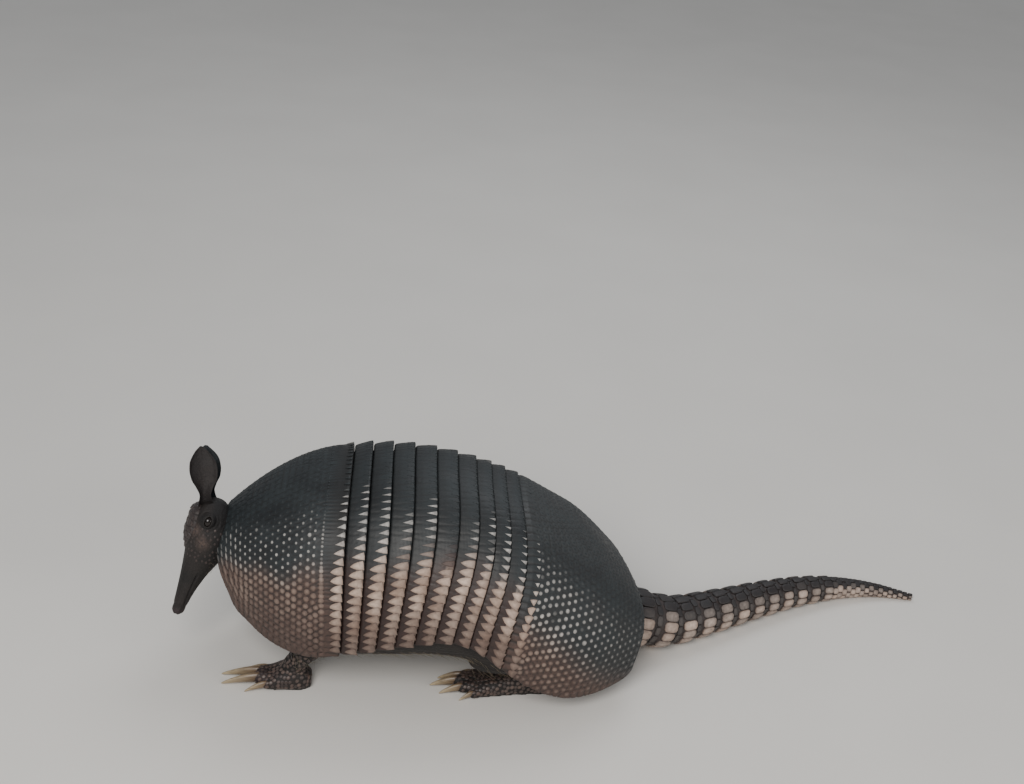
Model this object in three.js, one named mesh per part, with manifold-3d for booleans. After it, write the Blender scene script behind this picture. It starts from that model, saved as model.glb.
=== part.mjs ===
// A nine-banded armadillo, life size, standing crouched with its head hanging and its tail laid
// along the floor. Millimetres, +Z up. The head points to -X and the tail to +X, and the animal's
// left side faces -Y. The origin is at floor level, under the middle of the whole body.

import * as THREE from "three";
import { mergeVertices } from "three/addons/utils/BufferGeometryUtils.js";
import Module from "manifold-3d";

const wasm = await Module();
wasm.setup();

// ---- Driving dimensions -----------------------------------------------------------------------

const BODY_AT = [-108.8, -5.2, 0]; // from the middle of the back's curve to the origin
const GAP = 0.3; // clearance between neighbouring pieces

// The carapace: lengths along the back, from the neck to the root of the tail.
const SCAPULAR_LENGTH = 63;
const BAND_COUNT = 9;
const BAND_PITCH = 10.8;
const BAND_SPREAD = -0.2; // the front bands sit closer together than the rear ones
const PELVIC_LENGTH = 103;
const SHELL_LENGTH = SCAPULAR_LENGTH + BAND_COUNT * BAND_PITCH + PELVIC_LENGTH;
const BACK_HEIGHT = 70; // of the middle of the back's guide curve above the floor
const PLATE_DEPTH = 5; // from the outer face of the shell to the flesh

// The guide curve and its cross-section, at these fractions of the shell's length.
const CURVE_KNOTS = [0, 0.25, 0.5, 0.75, 1];
const PITCH = [37, 3, -18, -17, -24]; // degrees above level, walking from neck to tail
const YAW = [0, 0, 0, -5, -12]; // degrees, the rump turning to the animal's right
const SECTION_KNOTS = [0, 0.2, 0.5, 0.8, 1];
const HALF_WIDTH = [42, 86, 93, 90, 70];
const RISE = [74, 87, 94, 81, 57];
const WRAP = [86, 109, 88, 106, 98]; // degrees from the crest to the lower edge
const LEAN_KNOTS = [0, 0.5, 1];
const LEAN = [21, -8, -4]; // degrees, lower edge ahead of the crest
const BOW = [-9, 5, 6.5]; // the flank's part of a band bowed towards the tail
const SWEEP = [6.5, -2, -11]; // the lower edge swept towards the neck
const ROUNDNESS = 0.92; // power of the section's sine and cosine

// The trunk below the shell.
const BELLY_KNOTS = [0, 0.15, 0.45, 0.8, 1];
const BELLY_HEIGHT = [46, 28, 18, 22, 26];

// The head, along its own axis from the poll to the nose.
const HEAD_AT = [-172, 5, 131.5];
const HEAD_PITCH = -74; // degrees, the snout pointing down
const HEAD_ROLL = -20; // degrees about X, the snout swung out to the animal's left
const HEAD_KNOTS = [5, 8, 12, 18, 30, 48, 66, 84, 97];
const HEAD_TOP = [2.5, 7.5, 13, 16.6, 16.6, 13.6, 11, 9.2, 8.2];
const HEAD_BOTTOM = [-4, -8, -12.5, -17, -22, -17, -9.5, -4.5, -2.5];
const HEAD_SIDE = [6, 12, 17.5, 21.5, 22, 17, 12, 8.7, 7.5];
const MUZZLE_FROM = 50;
const NOSE_FROM = 94;
const EYE_AT = [19, 1.5, 18.2]; // along the head, up from its axis, out from its middle
const EYE_RADIUS = 5.2;
const EAR_AT = [9.5, 7.5, 12];
const EAR_LENGTH = 52;

// The tail: its plan, from inside the rump to the tip, and its thickness.
const TAIL_PLAN = [[112, 3], [146, 7], [172, 13], [206, 27.5], [243, 46.5], [278, 65], [318, 83],
  [354, 94], [390, 98], [424, 94]];
const TAIL_ROOT_HEIGHT = 37;
const TAIL_LANDS_AT = 0.27; // fraction of its length where it comes down to the floor
const TAIL_KNOTS = [0, 0.12, 0.25, 0.4, 0.7, 1];
const TAIL_RADIUS = [26, 24.5, 20, 17, 11.5, 2.4];
const TAIL_RING_COUNT = 12;
const TAIL_RINGS_FROM = 0.1;
const TAIL_RINGS_TO = 0.76;

const CHARCOAL = 0x3a3c40;
const PALE_SCUTE = 0xa8988a;
const GREY_SKIN = 0x57504d;
const DARK_SKIN = 0x3d3a3b;
const HORN = 0xa89a80;
const EYE_BLACK = 0x0c0a0a;

// ---- Curves -----------------------------------------------------------------------------------

const radians = THREE.MathUtils.degToRad;

// A smooth curve through values given at knots, with no overshoot between them.
function ramp(knots, values) {
  const steps = knots.slice(1).map((knot, i) => knot - knots[i]);
  const slopes = steps.map((step, i) => (values[i + 1] - values[i]) / step);
  const tangents = values.map((_, i) => {
    if (i === 0) return slopes[0];
    if (i === steps.length) return slopes[i - 1];
    if (slopes[i - 1] * slopes[i] <= 0) return 0;
    const before = 2 * steps[i] + steps[i - 1];
    const after = steps[i] + 2 * steps[i - 1];
    return (before + after) / (before / slopes[i - 1] + after / slopes[i]);
  });
  return (x) => {
    const inside = Math.min(Math.max(x, knots[0]), knots[knots.length - 1]);
    let i = 0;
    while (i < steps.length - 1 && inside > knots[i + 1]) i += 1;
    const t = (inside - knots[i]) / steps[i];
    const square = t * t;
    const cube = square * t;
    return values[i] * (2 * cube - 3 * square + 1)
      + tangents[i] * steps[i] * (cube - 2 * square + t)
      + values[i + 1] * (3 * square - 2 * cube)
      + tangents[i + 1] * steps[i] * (cube - square);
  };
}

const signedPower = (x, power) => Math.sign(x) * Math.abs(x) ** power;

function smoothStep(x) {
  const t = Math.min(Math.max(x, 0), 1);
  return t * t * (3 - 2 * t);
}

// ---- Meshes -----------------------------------------------------------------------------------

// Skins a list of rings, each with the same number of points. A strip of a plate has its ends
// closed from outer to inner side; any other loft has them closed round their middle.
function loft(rings, { plateEnds = false } = {}) {
  const count = rings[0].length;
  const points = rings.flat();
  const index = [];
  for (let ring = 0; ring + 1 < rings.length; ring++) {
    for (let i = 0; i < count; i++) {
      const a = ring * count + i;
      const b = ring * count + (i + 1) % count;
      index.push(a, b, a + count, b, b + count, a + count);
    }
  }
  const last = (rings.length - 1) * count;
  if (plateEnds) {
    for (let i = 0; i + 1 < count / 2; i++) {
      const across = count - 1 - i;
      index.push(i, across, i + 1, i + 1, across, across - 1);
      index.push(last + i, last + i + 1, last + across, last + i + 1, last + across - 1, last + across);
    }
  } else {
    for (const [ring, start, flip] of [[rings[0], 0, false], [rings[rings.length - 1], last, true]]) {
      const middle = points.length;
      points.push(ring.reduce((sum, p) => sum.add(p), new THREE.Vector3()).divideScalar(count));
      for (let i = 0; i < count; i++) {
        const next = (i + 1) % count;
        index.push(middle, start + (flip ? i : next), start + (flip ? next : i));
      }
    }
  }
  return outward(points, index);
}

// A geometry with its faces turned outwards.
function outward(points, index) {
  let volume = 0;
  for (let i = 0; i < index.length; i += 3) {
    const [a, b, c] = [points[index[i]], points[index[i + 1]], points[index[i + 2]]];
    volume += a.dot(new THREE.Vector3().crossVectors(b, c));
  }
  if (volume < 0) index.reverse();
  const geometry = new THREE.BufferGeometry();
  geometry.setAttribute("position", new THREE.Float32BufferAttribute(points.flatMap((p) => [...p]), 3));
  geometry.setIndex(index);
  return geometry;
}

function toSolid(geometry) {
  const bare = geometry.clone();
  bare.deleteAttribute("normal");
  bare.deleteAttribute("uv");
  const merged = mergeVertices(bare, 1e-4);
  return new wasm.Manifold(new wasm.Mesh({
    numProp: 3,
    vertProperties: new Float32Array(merged.attributes.position.array),
    triVerts: new Uint32Array(merged.index.array),
  }));
}

// Cuts the tools away from a shape and keeps its largest piece.
function cut(geometry, ...tools) {
  let solid = toSolid(geometry);
  for (const tool of tools) solid = solid.subtract(toSolid(tool));
  const pieces = solid.decompose().sort((a, b) => b.volume() - a.volume());
  const mesh = pieces[0].getMesh();
  const result = new THREE.BufferGeometry();
  result.setAttribute("position", new THREE.BufferAttribute(new Float32Array(mesh.vertProperties), 3));
  result.setIndex([...mesh.triVerts]);
  return result;
}

// An oval ring of points round a centre, across two directions.
function oval(centre, across, up, halfWidth, halfHeight, count, power = 1) {
  return Array.from({ length: count }, (_, i) => {
    const angle = (2 * Math.PI * (i + 0.5)) / count;
    return centre.clone()
      .addScaledVector(across, halfWidth * signedPower(Math.sin(angle), power))
      .addScaledVector(up, halfHeight * signedPower(Math.cos(angle), power));
  });
}

// ---- The carapace's surface -------------------------------------------------------------------

const pitchAt = ramp(CURVE_KNOTS, PITCH);
const yawAt = ramp(CURVE_KNOTS, YAW);
const halfWidthAt = ramp(SECTION_KNOTS, HALF_WIDTH);
const riseAt = ramp(SECTION_KNOTS, RISE);
const wrapAt = ramp(SECTION_KNOTS, WRAP);
const leanAt = ramp(LEAN_KNOTS, LEAN);
const bowAt = ramp(LEAN_KNOTS, BOW);
const sweepAt = ramp(LEAN_KNOTS, SWEEP);

function headingAt(u) {
  const pitch = radians(pitchAt(u));
  const yaw = radians(yawAt(u));
  const along = new THREE.Vector3(Math.cos(pitch) * Math.cos(yaw),
    -Math.cos(pitch) * Math.sin(yaw), Math.sin(pitch));
  const left = new THREE.Vector3(-Math.sin(yaw), -Math.cos(yaw), 0);
  return { along, left, up: new THREE.Vector3().crossVectors(left, along) };
}

const BACK_STEPS = 120;
const backCurve = walkTheBack();

function walkTheBack() {
  const points = [new THREE.Vector3()];
  for (let i = 0; i < BACK_STEPS; i++) {
    const { along } = headingAt((i + 0.5) / BACK_STEPS);
    points.push(points[i].clone().addScaledVector(along, SHELL_LENGTH / BACK_STEPS));
  }
  const middle = points[BACK_STEPS / 2].clone();
  const floor = new THREE.Vector3(0, 0, BACK_HEIGHT);
  return points.map((p) => p.sub(middle).add(floor));
}

// The guide curve at distance s, running straight on beyond its two ends.
function backAt(s) {
  const place = (Math.min(Math.max(s / SHELL_LENGTH, 0), 1)) * BACK_STEPS;
  const i = Math.min(Math.floor(place), BACK_STEPS - 1);
  const point = backCurve[i].clone().lerp(backCurve[i + 1], place - i);
  const beyond = s - (place / BACK_STEPS) * SHELL_LENGTH;
  return point.addScaledVector(headingAt(s / SHELL_LENGTH).along, beyond);
}

// A point of the shell: s runs from neck to tail, side from -1 (left lower edge) over 0 (crest)
// to 1 (right lower edge), and lift is its height over the outer face.
function shellPoint(s, side, lift = 0) {
  const u = s / SHELL_LENGTH;
  const { along, left, up } = headingAt(u);
  const angle = radians(wrapAt(u)) * side;
  const across = signedPower(Math.sin(angle), ROUNDNESS);
  const above = signedPower(Math.cos(angle), ROUNDNESS);
  const shift = -(1 - above) * riseAt(u) * Math.tan(radians(leanAt(u)))
    + bowAt(u) * Math.sin(Math.PI * Math.abs(side)) ** 2
    - sweepAt(u) * Math.abs(side) ** 3;
  return backAt(s)
    .addScaledVector(left, -across * (halfWidthAt(u) + lift))
    .addScaledVector(up, above * (riseAt(u) + lift))
    .addScaledVector(along, shift);
}

// Where band number k ends; 0 is the rear edge of the scapular shield.
function bandEdge(k) {
  const part = k / BAND_COUNT;
  return SCAPULAR_LENGTH + BAND_COUNT * BAND_PITCH * (part + BAND_SPREAD * part * (1 - part));
}

// ---- Shell plates -----------------------------------------------------------------------------

const PLATE_STEPS = 16; // from one lower edge to the other
const sideSteps = Array.from({ length: PLATE_STEPS + 1 }, (_, i) => (2 * i) / PLATE_STEPS - 1);

// A plate from s = from to s = to. Its profile is a list of [fraction of its length, lift of the
// outer face].
function plate(from, to, profile, inner = -PLATE_DEPTH, reach = 1) {
  const rings = sideSteps.map((step) => {
    const side = step * reach;
    const outerSide = profile.map(([part, lift]) => shellPoint(from + part * (to - from), side, lift));
    const innerSide = profile.map(([part]) => shellPoint(from + part * (to - from), side, inner));
    return [...outerSide, ...innerSide.reverse()];
  });
  return loft(rings, { plateEnds: true });
}

// Evenly spaced stations with a thin leading edge and a thin trailing edge.
function shieldProfile(stations, leading, trailing) {
  return Array.from({ length: stations + 1 }, (_, i) => {
    const part = i / stations;
    const lift = i === 0 ? leading : 0;
    return [part, i === stations ? trailing : lift];
  });
}

function makeScapularShield() {
  return plate(0, bandEdge(0) - GAP / 2, shieldProfile(7, -2, 0.6));
}

function makeBand(number) {
  const from = bandEdge(number - 1) + GAP / 2;
  const to = bandEdge(number) - GAP / 2;
  return plate(from, to, [[0, -1.8], [0.6, 0.2], [1, 0.6]]);
}

function makePelvicShield() {
  return plate(bandEdge(BAND_COUNT) + GAP / 2, SHELL_LENGTH, shieldProfile(10, -1.8, -1.2));
}

// ---- Trunk ------------------------------------------------------------------------------------

const bellyAt = ramp(BELLY_KNOTS, BELLY_HEIGHT);
const TRUNK_INSET = PLATE_DEPTH + 0.8;
const TRUNK_REACH = 0.97; // how far round to the lower edges the back of the trunk goes
const BELLY_STEPS = 7;
const BELLY_TUCK = 1.5; // how far the flesh draws in below the shell's edges

// One ring of the trunk: over the back under the shell, then round the belly.
function trunkRing(s, inset, grow) {
  const u = s / SHELL_LENGTH;
  const reach = TRUNK_REACH + grow / 50;
  const back = sideSteps.map((side) => shellPoint(s, side * reach, grow - inset));
  const leftEdge = back[0];
  const rightEdge = back[back.length - 1];
  const middle = leftEdge.clone().lerp(rightEdge, 0.5);
  const bottom = new THREE.Vector3(backAt(s).x, middle.y, bellyAt(u) - grow);
  const half = rightEdge.clone().sub(middle);
  const drop = bottom.sub(middle);
  const belly = Array.from({ length: BELLY_STEPS }, (_, i) => {
    const angle = (Math.PI * (i + 1)) / (BELLY_STEPS + 1);
    return middle.clone()
      .addScaledVector(half, signedPower(Math.cos(angle), BELLY_TUCK))
      .addScaledVector(drop, Math.sin(angle) ** 0.9);
  });
  return [...back, ...belly];
}

function shrinkRing(ring, towards, share, along) {
  return ring.map((p) => p.clone().lerp(towards, share).add(along));
}

function makeTrunk(grow = 0) {
  const stations = [20, 38, 60, 85, 113, 142, 170, 198, 226, 254];
  const rings = stations.map((s) => trunkRing(s, TRUNK_INSET, grow));
  const chest = rings[0];
  const rump = rings[rings.length - 1];
  const neckBase = new THREE.Vector3(-138, 0, 80);
  const tailBase = new THREE.Vector3(138, 8, 32);
  const forward = new THREE.Vector3(-4 - grow, 0, 0);
  const backward = new THREE.Vector3(8 + 2 * grow, 1, 0);
  rings.unshift(shrinkRing(chest, neckBase, 0.14, forward));
  rings.unshift(shrinkRing(chest, neckBase, 0.42, forward.clone().multiplyScalar(2)));
  rings.push(shrinkRing(rump, tailBase, 0.16, backward));
  rings.push(shrinkRing(rump, tailBase, 0.45, backward.clone().multiplyScalar(2)));
  return loft(rings);
}

// ---- Neck and head ----------------------------------------------------------------------------

const headTurn = new THREE.Matrix4().makeRotationX(radians(HEAD_ROLL))
  .multiply(new THREE.Matrix4().makeRotationY(radians(HEAD_PITCH)));
const headAxis = new THREE.Vector3(-1, 0, 0).transformDirection(headTurn);
const headUp = new THREE.Vector3(0, 0, 1).transformDirection(headTurn);
const headOut = new THREE.Vector3(0, -1, 0).transformDirection(headTurn);
const headTopAt = ramp(HEAD_KNOTS, HEAD_TOP);
const headBottomAt = ramp(HEAD_KNOTS, HEAD_BOTTOM);
const headSideAt = ramp(HEAD_KNOTS, HEAD_SIDE);

const headRollOnly = new THREE.Matrix4().makeRotationX(radians(HEAD_ROLL));

// A point given along the head, up from its axis and out to the animal's left.
function onHead(along, up, out) {
  return new THREE.Vector3(...HEAD_AT)
    .addScaledVector(headAxis, along)
    .addScaledVector(headUp, up)
    .addScaledVector(headOut, out);
}

function headPoint(along, angle, lift = 0) {
  const top = headTopAt(along);
  const bottom = headBottomAt(along);
  const up = (top + bottom) / 2 + ((top - bottom) / 2 + lift) * signedPower(Math.cos(angle), 0.9);
  return onHead(along, up, (headSideAt(along) + lift) * signedPower(Math.sin(angle), 0.9));
}

function headRing(along, count, lift = 0, shrink = 1) {
  const middle = (headTopAt(along) + headBottomAt(along)) / 2;
  const centre = onHead(along, middle, 0);
  return Array.from({ length: count }, (_, i) => {
    const point = headPoint(along, (2 * Math.PI * i) / count, lift);
    return centre.clone().lerp(point, shrink);
  });
}

function makeSkull(grow = 0) {
  const rings = [5, 7, 10, 14, 19, 26, 34, 42, MUZZLE_FROM - GAP]
    .map((along) => headRing(along, 16, grow));
  return loft(rings);
}

function makeMuzzle() {
  const rings = [MUZZLE_FROM, 58, 68, 80, NOSE_FROM].map((along) => headRing(along, 14));
  return loft(rings);
}

function makeNose() {
  const rings = [[GAP, 0.96], [3, 1], [5.5, 0.8], [6.3, 0.5]]
    .map(([ahead, shrink]) => headRing(NOSE_FROM, 12, 0, shrink)
      .map((p) => p.addScaledVector(headAxis, ahead)));
  return loft(rings);
}

// The bony shield over the forehead, from the poll to between the eyes and the muzzle.
function makeHeadShield(grow = 0) {
  const spread = ramp([0, 0.4, 1], [50 + 2 * grow, 52 + 2 * grow, 34 + 2 * grow]);
  const steps = Array.from({ length: 7 }, (_, i) => i / 6 - 0.5);
  const stations = [9 - grow, 14, 20, 27, 34, 41, 48 + grow];
  const rings = steps.map((step) => {
    const turnAt = (i) => radians(spread(i / 6) * 2 * step);
    const outer = 2.3 - 0.8 * Math.abs(2 * step) ** 6 + grow;
    const outerSide = stations.map((along, i) => headPoint(along, turnAt(i), outer));
    const innerSide = stations.map((along, i) => headPoint(along, turnAt(i), 0.8 - grow));
    return [...outerSide, ...innerSide.reverse()];
  });
  return loft(rings, { plateEnds: true });
}

function makeEye(hand, grow = 0) {
  const [along, up, out] = EYE_AT;
  const geometry = new THREE.SphereGeometry(EYE_RADIUS + grow, 10, 7);
  return geometry.translate(...onHead(along, up, hand * out));
}

// A tall ear: a narrow funnel at the base that opens into a rounded leaf.
function makeEar(hand) {
  const base = onHead(...EAR_AT.slice(0, 2), hand * EAR_AT[2]);
  const halfWidth = ramp([0, 0.18, 0.3, 0.45, 0.64, 0.8, 0.93, 1], [6, 5.4, 7, 10, 10.8, 9.6, 6, 1.6]);
  const cupping = ramp([0, 0.4, 0.7, 1], [5.5, 5, 3.6, 0.4]);
  const rise = new THREE.Vector3(-0.045 - 0.01 * hand, -0.48 + 0.06 * hand, 1)
    .transformDirection(headRollOnly);
  const across = new THREE.Vector3(-1, -0.45 * hand, 0).transformDirection(headRollOnly);
  const back = new THREE.Vector3().crossVectors(across, rise).normalize().multiplyScalar(hand);
  const thickness = 1.3;
  const rings = [-0.14, 0.16, 0.3, 0.45, 0.6, 0.76, 0.91, 1].map((part) => {
    const centre = base.clone().addScaledVector(rise, part * EAR_LENGTH);
    const outerSide = [];
    const innerSide = [];
    for (let i = 0; i <= 5; i++) {
      const turn = i / 2.5 - 1;
      const depth = -cupping(part) * (1 - turn * turn);
      const point = centre.clone().addScaledVector(across, halfWidth(part) * turn);
      outerSide.push(point.clone().addScaledVector(back, -depth + thickness / 2));
      innerSide.push(point.clone().addScaledVector(back, -depth - thickness / 2));
    }
    return [...outerSide, ...innerSide.reverse()];
  });
  return loft(rings, { plateEnds: true });
}

function makeNeck(grow = 0) {
  const route = [
    { at: [-122, 0, 76], wide: 28, tall: 30 },
    { at: [-138, -1, 86], wide: 26, tall: 28 },
    { at: [-149, -2, 95], wide: 23, tall: 25 },
    { at: [-158, -3, 105], wide: 19, tall: 20 },
    { at: [-165, -3, 114], wide: 15, tall: 14 },
  ];
  const across = new THREE.Vector3(0, -1, 0);
  const rings = route.map(({ at, wide, tall }, i) => {
    const lean = radians(28 + 6 * i);
    const up = new THREE.Vector3(Math.sin(lean), 0, Math.cos(lean));
    return oval(new THREE.Vector3(...at), across, up, wide + grow, tall + grow, 16);
  });
  return loft(rings);
}

// ---- Legs, paws and claws ---------------------------------------------------------------------

// A limb through a list of stations on the left side; hand -1 mirrors it to the right.
function limb(stations, hand, grow = 0) {
  const rings = stations.map(({ at, wide, deep, tilt = 0 }, i) => {
    const along = new THREE.Vector3(Math.cos(radians(tilt)), 0, Math.sin(radians(tilt)));
    const beyond = i === 0 ? grow / 2 : 0;
    const centre = new THREE.Vector3(at[0], hand * -at[1], at[2] + beyond);
    return oval(centre, along, new THREE.Vector3(0, 1, 0), deep + grow, wide + grow, 12);
  });
  return loft(rings);
}

const FORELEG = [
  { at: [-92, 42, 72], wide: 20, deep: 24 },
  { at: [-92, 48, 56], wide: 18, deep: 22, tilt: 8 },
  { at: [-94, 52, 41], wide: 15.5, deep: 18, tilt: 14 },
  { at: [-101, 53, 29], wide: 13.5, deep: 14.5, tilt: 16 },
  { at: [-108, 52, 20.5], wide: 12, deep: 12, tilt: 12 },
];
const HINDLEG = [
  { at: [58, 48, 66], wide: 24, deep: 32, tilt: 6 },
  { at: [54, 58, 52], wide: 22, deep: 32, tilt: 14 },
  { at: [50, 62, 40], wide: 19, deep: 30, tilt: 12 },
  { at: [58, 58, 29], wide: 14, deep: 23, tilt: -4 },
  { at: [72, 52, 21.5], wide: 11.5, deep: 14, tilt: -14 },
];

// A paw from its heel to its toes, with a flat sole on the floor.
function paw(stations, middleY, hand, grow = 0) {
  const across = new THREE.Vector3(0, 1, 0);
  const up = new THREE.Vector3(0, 0, 1);
  const rings = stations.map(([x, shiftY, halfWidth, height]) => {
    const centre = new THREE.Vector3(x, -hand * (middleY + shiftY), height * 0.42);
    const ring = oval(centre, across, up, halfWidth + grow, height * 0.58 + grow, 12, 0.85);
    return ring.map((p) => p.setZ(Math.max(p.z, 0)));
  });
  return loft(rings);
}

const FOREPAW = [[-97, 0, 8, 12], [-103, 0, 12, 18], [-114, 0, 13.5, 20], [-126, 0, 14, 15],
  [-136, 0, 13, 11], [-141, 0, 10, 7]];
const FOREPAW_AT = 53;
const HINDPAW = [[92, 0, 6, 13], [87, 0, 9.5, 20], [74, 0, 11, 21], [58, 1, 12, 18], [42, 2, 14.5, 15],
  [26, 3, 15.5, 12], [15, 3, 12.5, 8]];
const HINDPAW_AT = 49;

// Root of each claw [x, y out from the paw's middle], its length, radius and outward turn.
const FORE_CLAWS = [
  { x: -133, y: -10, length: 15, radius: 2.6, turn: -14 },
  { x: -139, y: -3.6, length: 27, radius: 3.6, turn: -4 },
  { x: -139, y: 4, length: 26, radius: 3.6, turn: 4 },
  { x: -132, y: 10.6, length: 15, radius: 2.6, turn: 14 },
];
const HIND_CLAWS = [
  { x: 25, y: -10.5, length: 10, radius: 2.2, turn: -16 },
  { x: 16, y: -4.8, length: 16, radius: 3, turn: -6 },
  { x: 13, y: 2.4, length: 19, radius: 3.4, turn: 0 },
  { x: 17, y: 9.6, length: 16, radius: 3, turn: 8 },
  { x: 26, y: 16.2, length: 10, radius: 2.2, turn: 18 },
];

// A digging claw that leaves the toe forwards and curves down to the floor.
function claw({ x, y, length, radius, turn }, middleY, hand) {
  const ahead = new THREE.Vector3(-Math.cos(radians(turn)), -hand * Math.sin(radians(turn)), 0);
  const across = new THREE.Vector3(-ahead.y, ahead.x, 0);
  const rootHeight = radius * 1.3 + 2.2;
  const rings = [0, 0.5, 1].map((part) => {
    const size = radius * (1 - 0.82 * part ** 1.4);
    const height = size * 1.25 + 0.4 + (rootHeight - radius * 1.25 - 0.4) * (1 - part * part);
    const centre = new THREE.Vector3(x, -hand * (middleY + y), height);
    centre.addScaledVector(ahead, length * part);
    return oval(centre, across, new THREE.Vector3(0, 0, 1), size * 0.8, size * 1.2, 6);
  });
  return loft(rings);
}

// ---- Tail -------------------------------------------------------------------------------------

const TAIL_SIDES = 12;
const tailRadiusAt = ramp(TAIL_KNOTS, TAIL_RADIUS);
const tailPlan = new THREE.CatmullRomCurve3(
  TAIL_PLAN.map(([x, y]) => new THREE.Vector3(x, y, 0)), false, "centripetal");

// The tail's centre: it falls from the rump to the floor, then lies along it.
function tailAt(part) {
  const plan = tailPlan.getPointAt(part);
  const lying = tailRadiusAt(part) * 0.96;
  const fall = 1 - smoothStep(part / TAIL_LANDS_AT);
  return plan.setZ(lying + (TAIL_ROOT_HEIGHT - lying) * fall);
}

function tailRing(part, scale) {
  const step = 0.01;
  const ahead = tailAt(Math.min(part + step, 1)).sub(tailAt(Math.max(part - step, 0))).normalize();
  const across = new THREE.Vector3(ahead.y, -ahead.x, 0).normalize();
  const up = new THREE.Vector3().crossVectors(across, ahead).normalize();
  const radius = tailRadiusAt(part) * scale;
  const ring = oval(tailAt(part), across, up, radius, radius, TAIL_SIDES);
  return ring.map((p) => p.setZ(Math.max(p.z, 0)));
}

const TAIL_LENGTH = tailPlan.getLength();

// The ends of the armoured rings, each a little shorter than the one before it.
function tailEdge(number) {
  const part = number / TAIL_RING_COUNT;
  return TAIL_RINGS_FROM + (TAIL_RINGS_TO - TAIL_RINGS_FROM) * part * (1.22 - 0.22 * part);
}

function makeTailRing(number) {
  const gap = GAP / TAIL_LENGTH / 2;
  const from = tailEdge(number - 1) + gap;
  const to = tailEdge(number) - gap;
  const stations = [[0, 0.93], [0.86, 1.03], [1, 0.98]];
  return loft(stations.map(([part, scale]) => tailRing(from + part * (to - from), scale)));
}

function makeTailTip() {
  const from = TAIL_RINGS_TO + GAP / TAIL_LENGTH / 2;
  const stations = Array.from({ length: 6 }, (_, i) => from + (1 - from) * (i / 5));
  return loft(stations.map((part) => tailRing(part, 0.97)));
}

// ---- The animal -------------------------------------------------------------------------------

const armadillo = new THREE.Group();
armadillo.position.set(...BODY_AT);

const materials = {
  shell: new THREE.MeshStandardMaterial({ color: CHARCOAL, roughness: 0.62, metalness: 0 }),
  scute: new THREE.MeshStandardMaterial({ color: PALE_SCUTE, roughness: 0.6, metalness: 0 }),
  skin: new THREE.MeshStandardMaterial({ color: GREY_SKIN, roughness: 0.8, metalness: 0 }),
  ear: new THREE.MeshStandardMaterial({ color: DARK_SKIN, roughness: 0.75, metalness: 0 }),
  horn: new THREE.MeshStandardMaterial({ color: HORN, roughness: 0.45, metalness: 0 }),
  eye: new THREE.MeshStandardMaterial({ color: EYE_BLACK, roughness: 0.08, metalness: 0 }),
};

function add(name, geometry, finish) {
  const mesh = new THREE.Mesh(geometry, materials[finish]);
  mesh.name = name;
  armadillo.add(mesh);
}

function addShell() {
  add("shell_scapular", makeScapularShield(), "shell");
  for (let number = 1; number <= BAND_COUNT; number++) {
    add(`band_${number}`, makeBand(number), number % 2 ? "scute" : "shell");
  }
  add("shell_pelvic", makePelvicShield(), "shell");
}

// Space kept clear of other pieces round the shell, the trunk, the skull and its shield.
const shellRoom = plate(-1, SHELL_LENGTH + 1, shieldProfile(20, 3, 3), -PLATE_DEPTH - 1, 1.01);
const trunkRoom = makeTrunk(2 * GAP);
const skullRoom = makeSkull(GAP);
const shieldRoom = makeHeadShield(GAP);
const limbRooms = [FORELEG, HINDLEG].flatMap((stations) =>
  [1, -1].map((hand) => limb(stations, hand, 2 * GAP)));

function addBodyAndHead() {
  add("trunk", cut(makeTrunk(), ...limbRooms), "skin");
  add("neck", cut(makeNeck(), trunkRoom, shellRoom, skullRoom), "skin");
  add("head", cut(makeSkull(), shellRoom, makeEye(1, GAP), makeEye(-1, GAP)), "skin");
  add("muzzle", makeMuzzle(), "skin");
  add("nose", makeNose(), "ear");
  add("head_shield", makeHeadShield(), "shell");
  for (const [side, hand] of [["left", 1], ["right", -1]]) {
    add(`eye_${side}`, makeEye(hand), "eye");
    add(`ear_${side}`, cut(makeEar(hand), skullRoom, shieldRoom, shellRoom), "ear");
    addLegs(side, hand);
  }
}

function addLegs(side, hand) {
  const forePawRoom = paw(FOREPAW, FOREPAW_AT, hand, GAP);
  const hindPawRoom = paw(HINDPAW, HINDPAW_AT, hand, GAP);
  add(`foreleg_${side}`, cut(limb(FORELEG, hand), shellRoom, forePawRoom), "skin");
  add(`hindleg_${side}`, cut(limb(HINDLEG, hand), shellRoom, hindPawRoom), "skin");
  add(`forepaw_${side}`, paw(FOREPAW, FOREPAW_AT, hand), "skin");
  add(`hindpaw_${side}`, paw(HINDPAW, HINDPAW_AT, hand), "skin");
  FORE_CLAWS.forEach((shape, i) => {
    add(`foreclaw_${side}_${i + 1}`, cut(claw(shape, FOREPAW_AT, hand), forePawRoom), "horn");
  });
  HIND_CLAWS.forEach((shape, i) => {
    add(`hindclaw_${side}_${i + 1}`, cut(claw(shape, HINDPAW_AT, hand), hindPawRoom), "horn");
  });
}

function addTail() {
  add("tail_ring_1", cut(makeTailRing(1), trunkRoom, shellRoom), "scute");
  for (let number = 2; number <= TAIL_RING_COUNT; number++) {
    add(`tail_ring_${number}`, makeTailRing(number), number % 2 ? "scute" : "shell");
  }
  add("tail_tip", makeTailTip(), "shell");
}

addShell();
addBodyAndHead();
addTail();

export default armadillo;
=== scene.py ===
# %% [markdown]
# A nine-banded armadillo, life size, crouched with its head hanging and its tail on the floor.
# The frame's solids give the true places and sizes. This file dresses them: horny shell plates with
# their scutes, one hide over all the flesh, scaly feet and tail, eyes, ears, claws and a few hairs.
# The shell and the tail follow rules, so their shapes are worked out from the same few numbers as
# the solids, and Geometry Nodes set the hundreds of scutes and scales on them.

import math

import bmesh
import bpy
import numpy as np
from mathutils import Matrix, Vector, kdtree, noise


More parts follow.
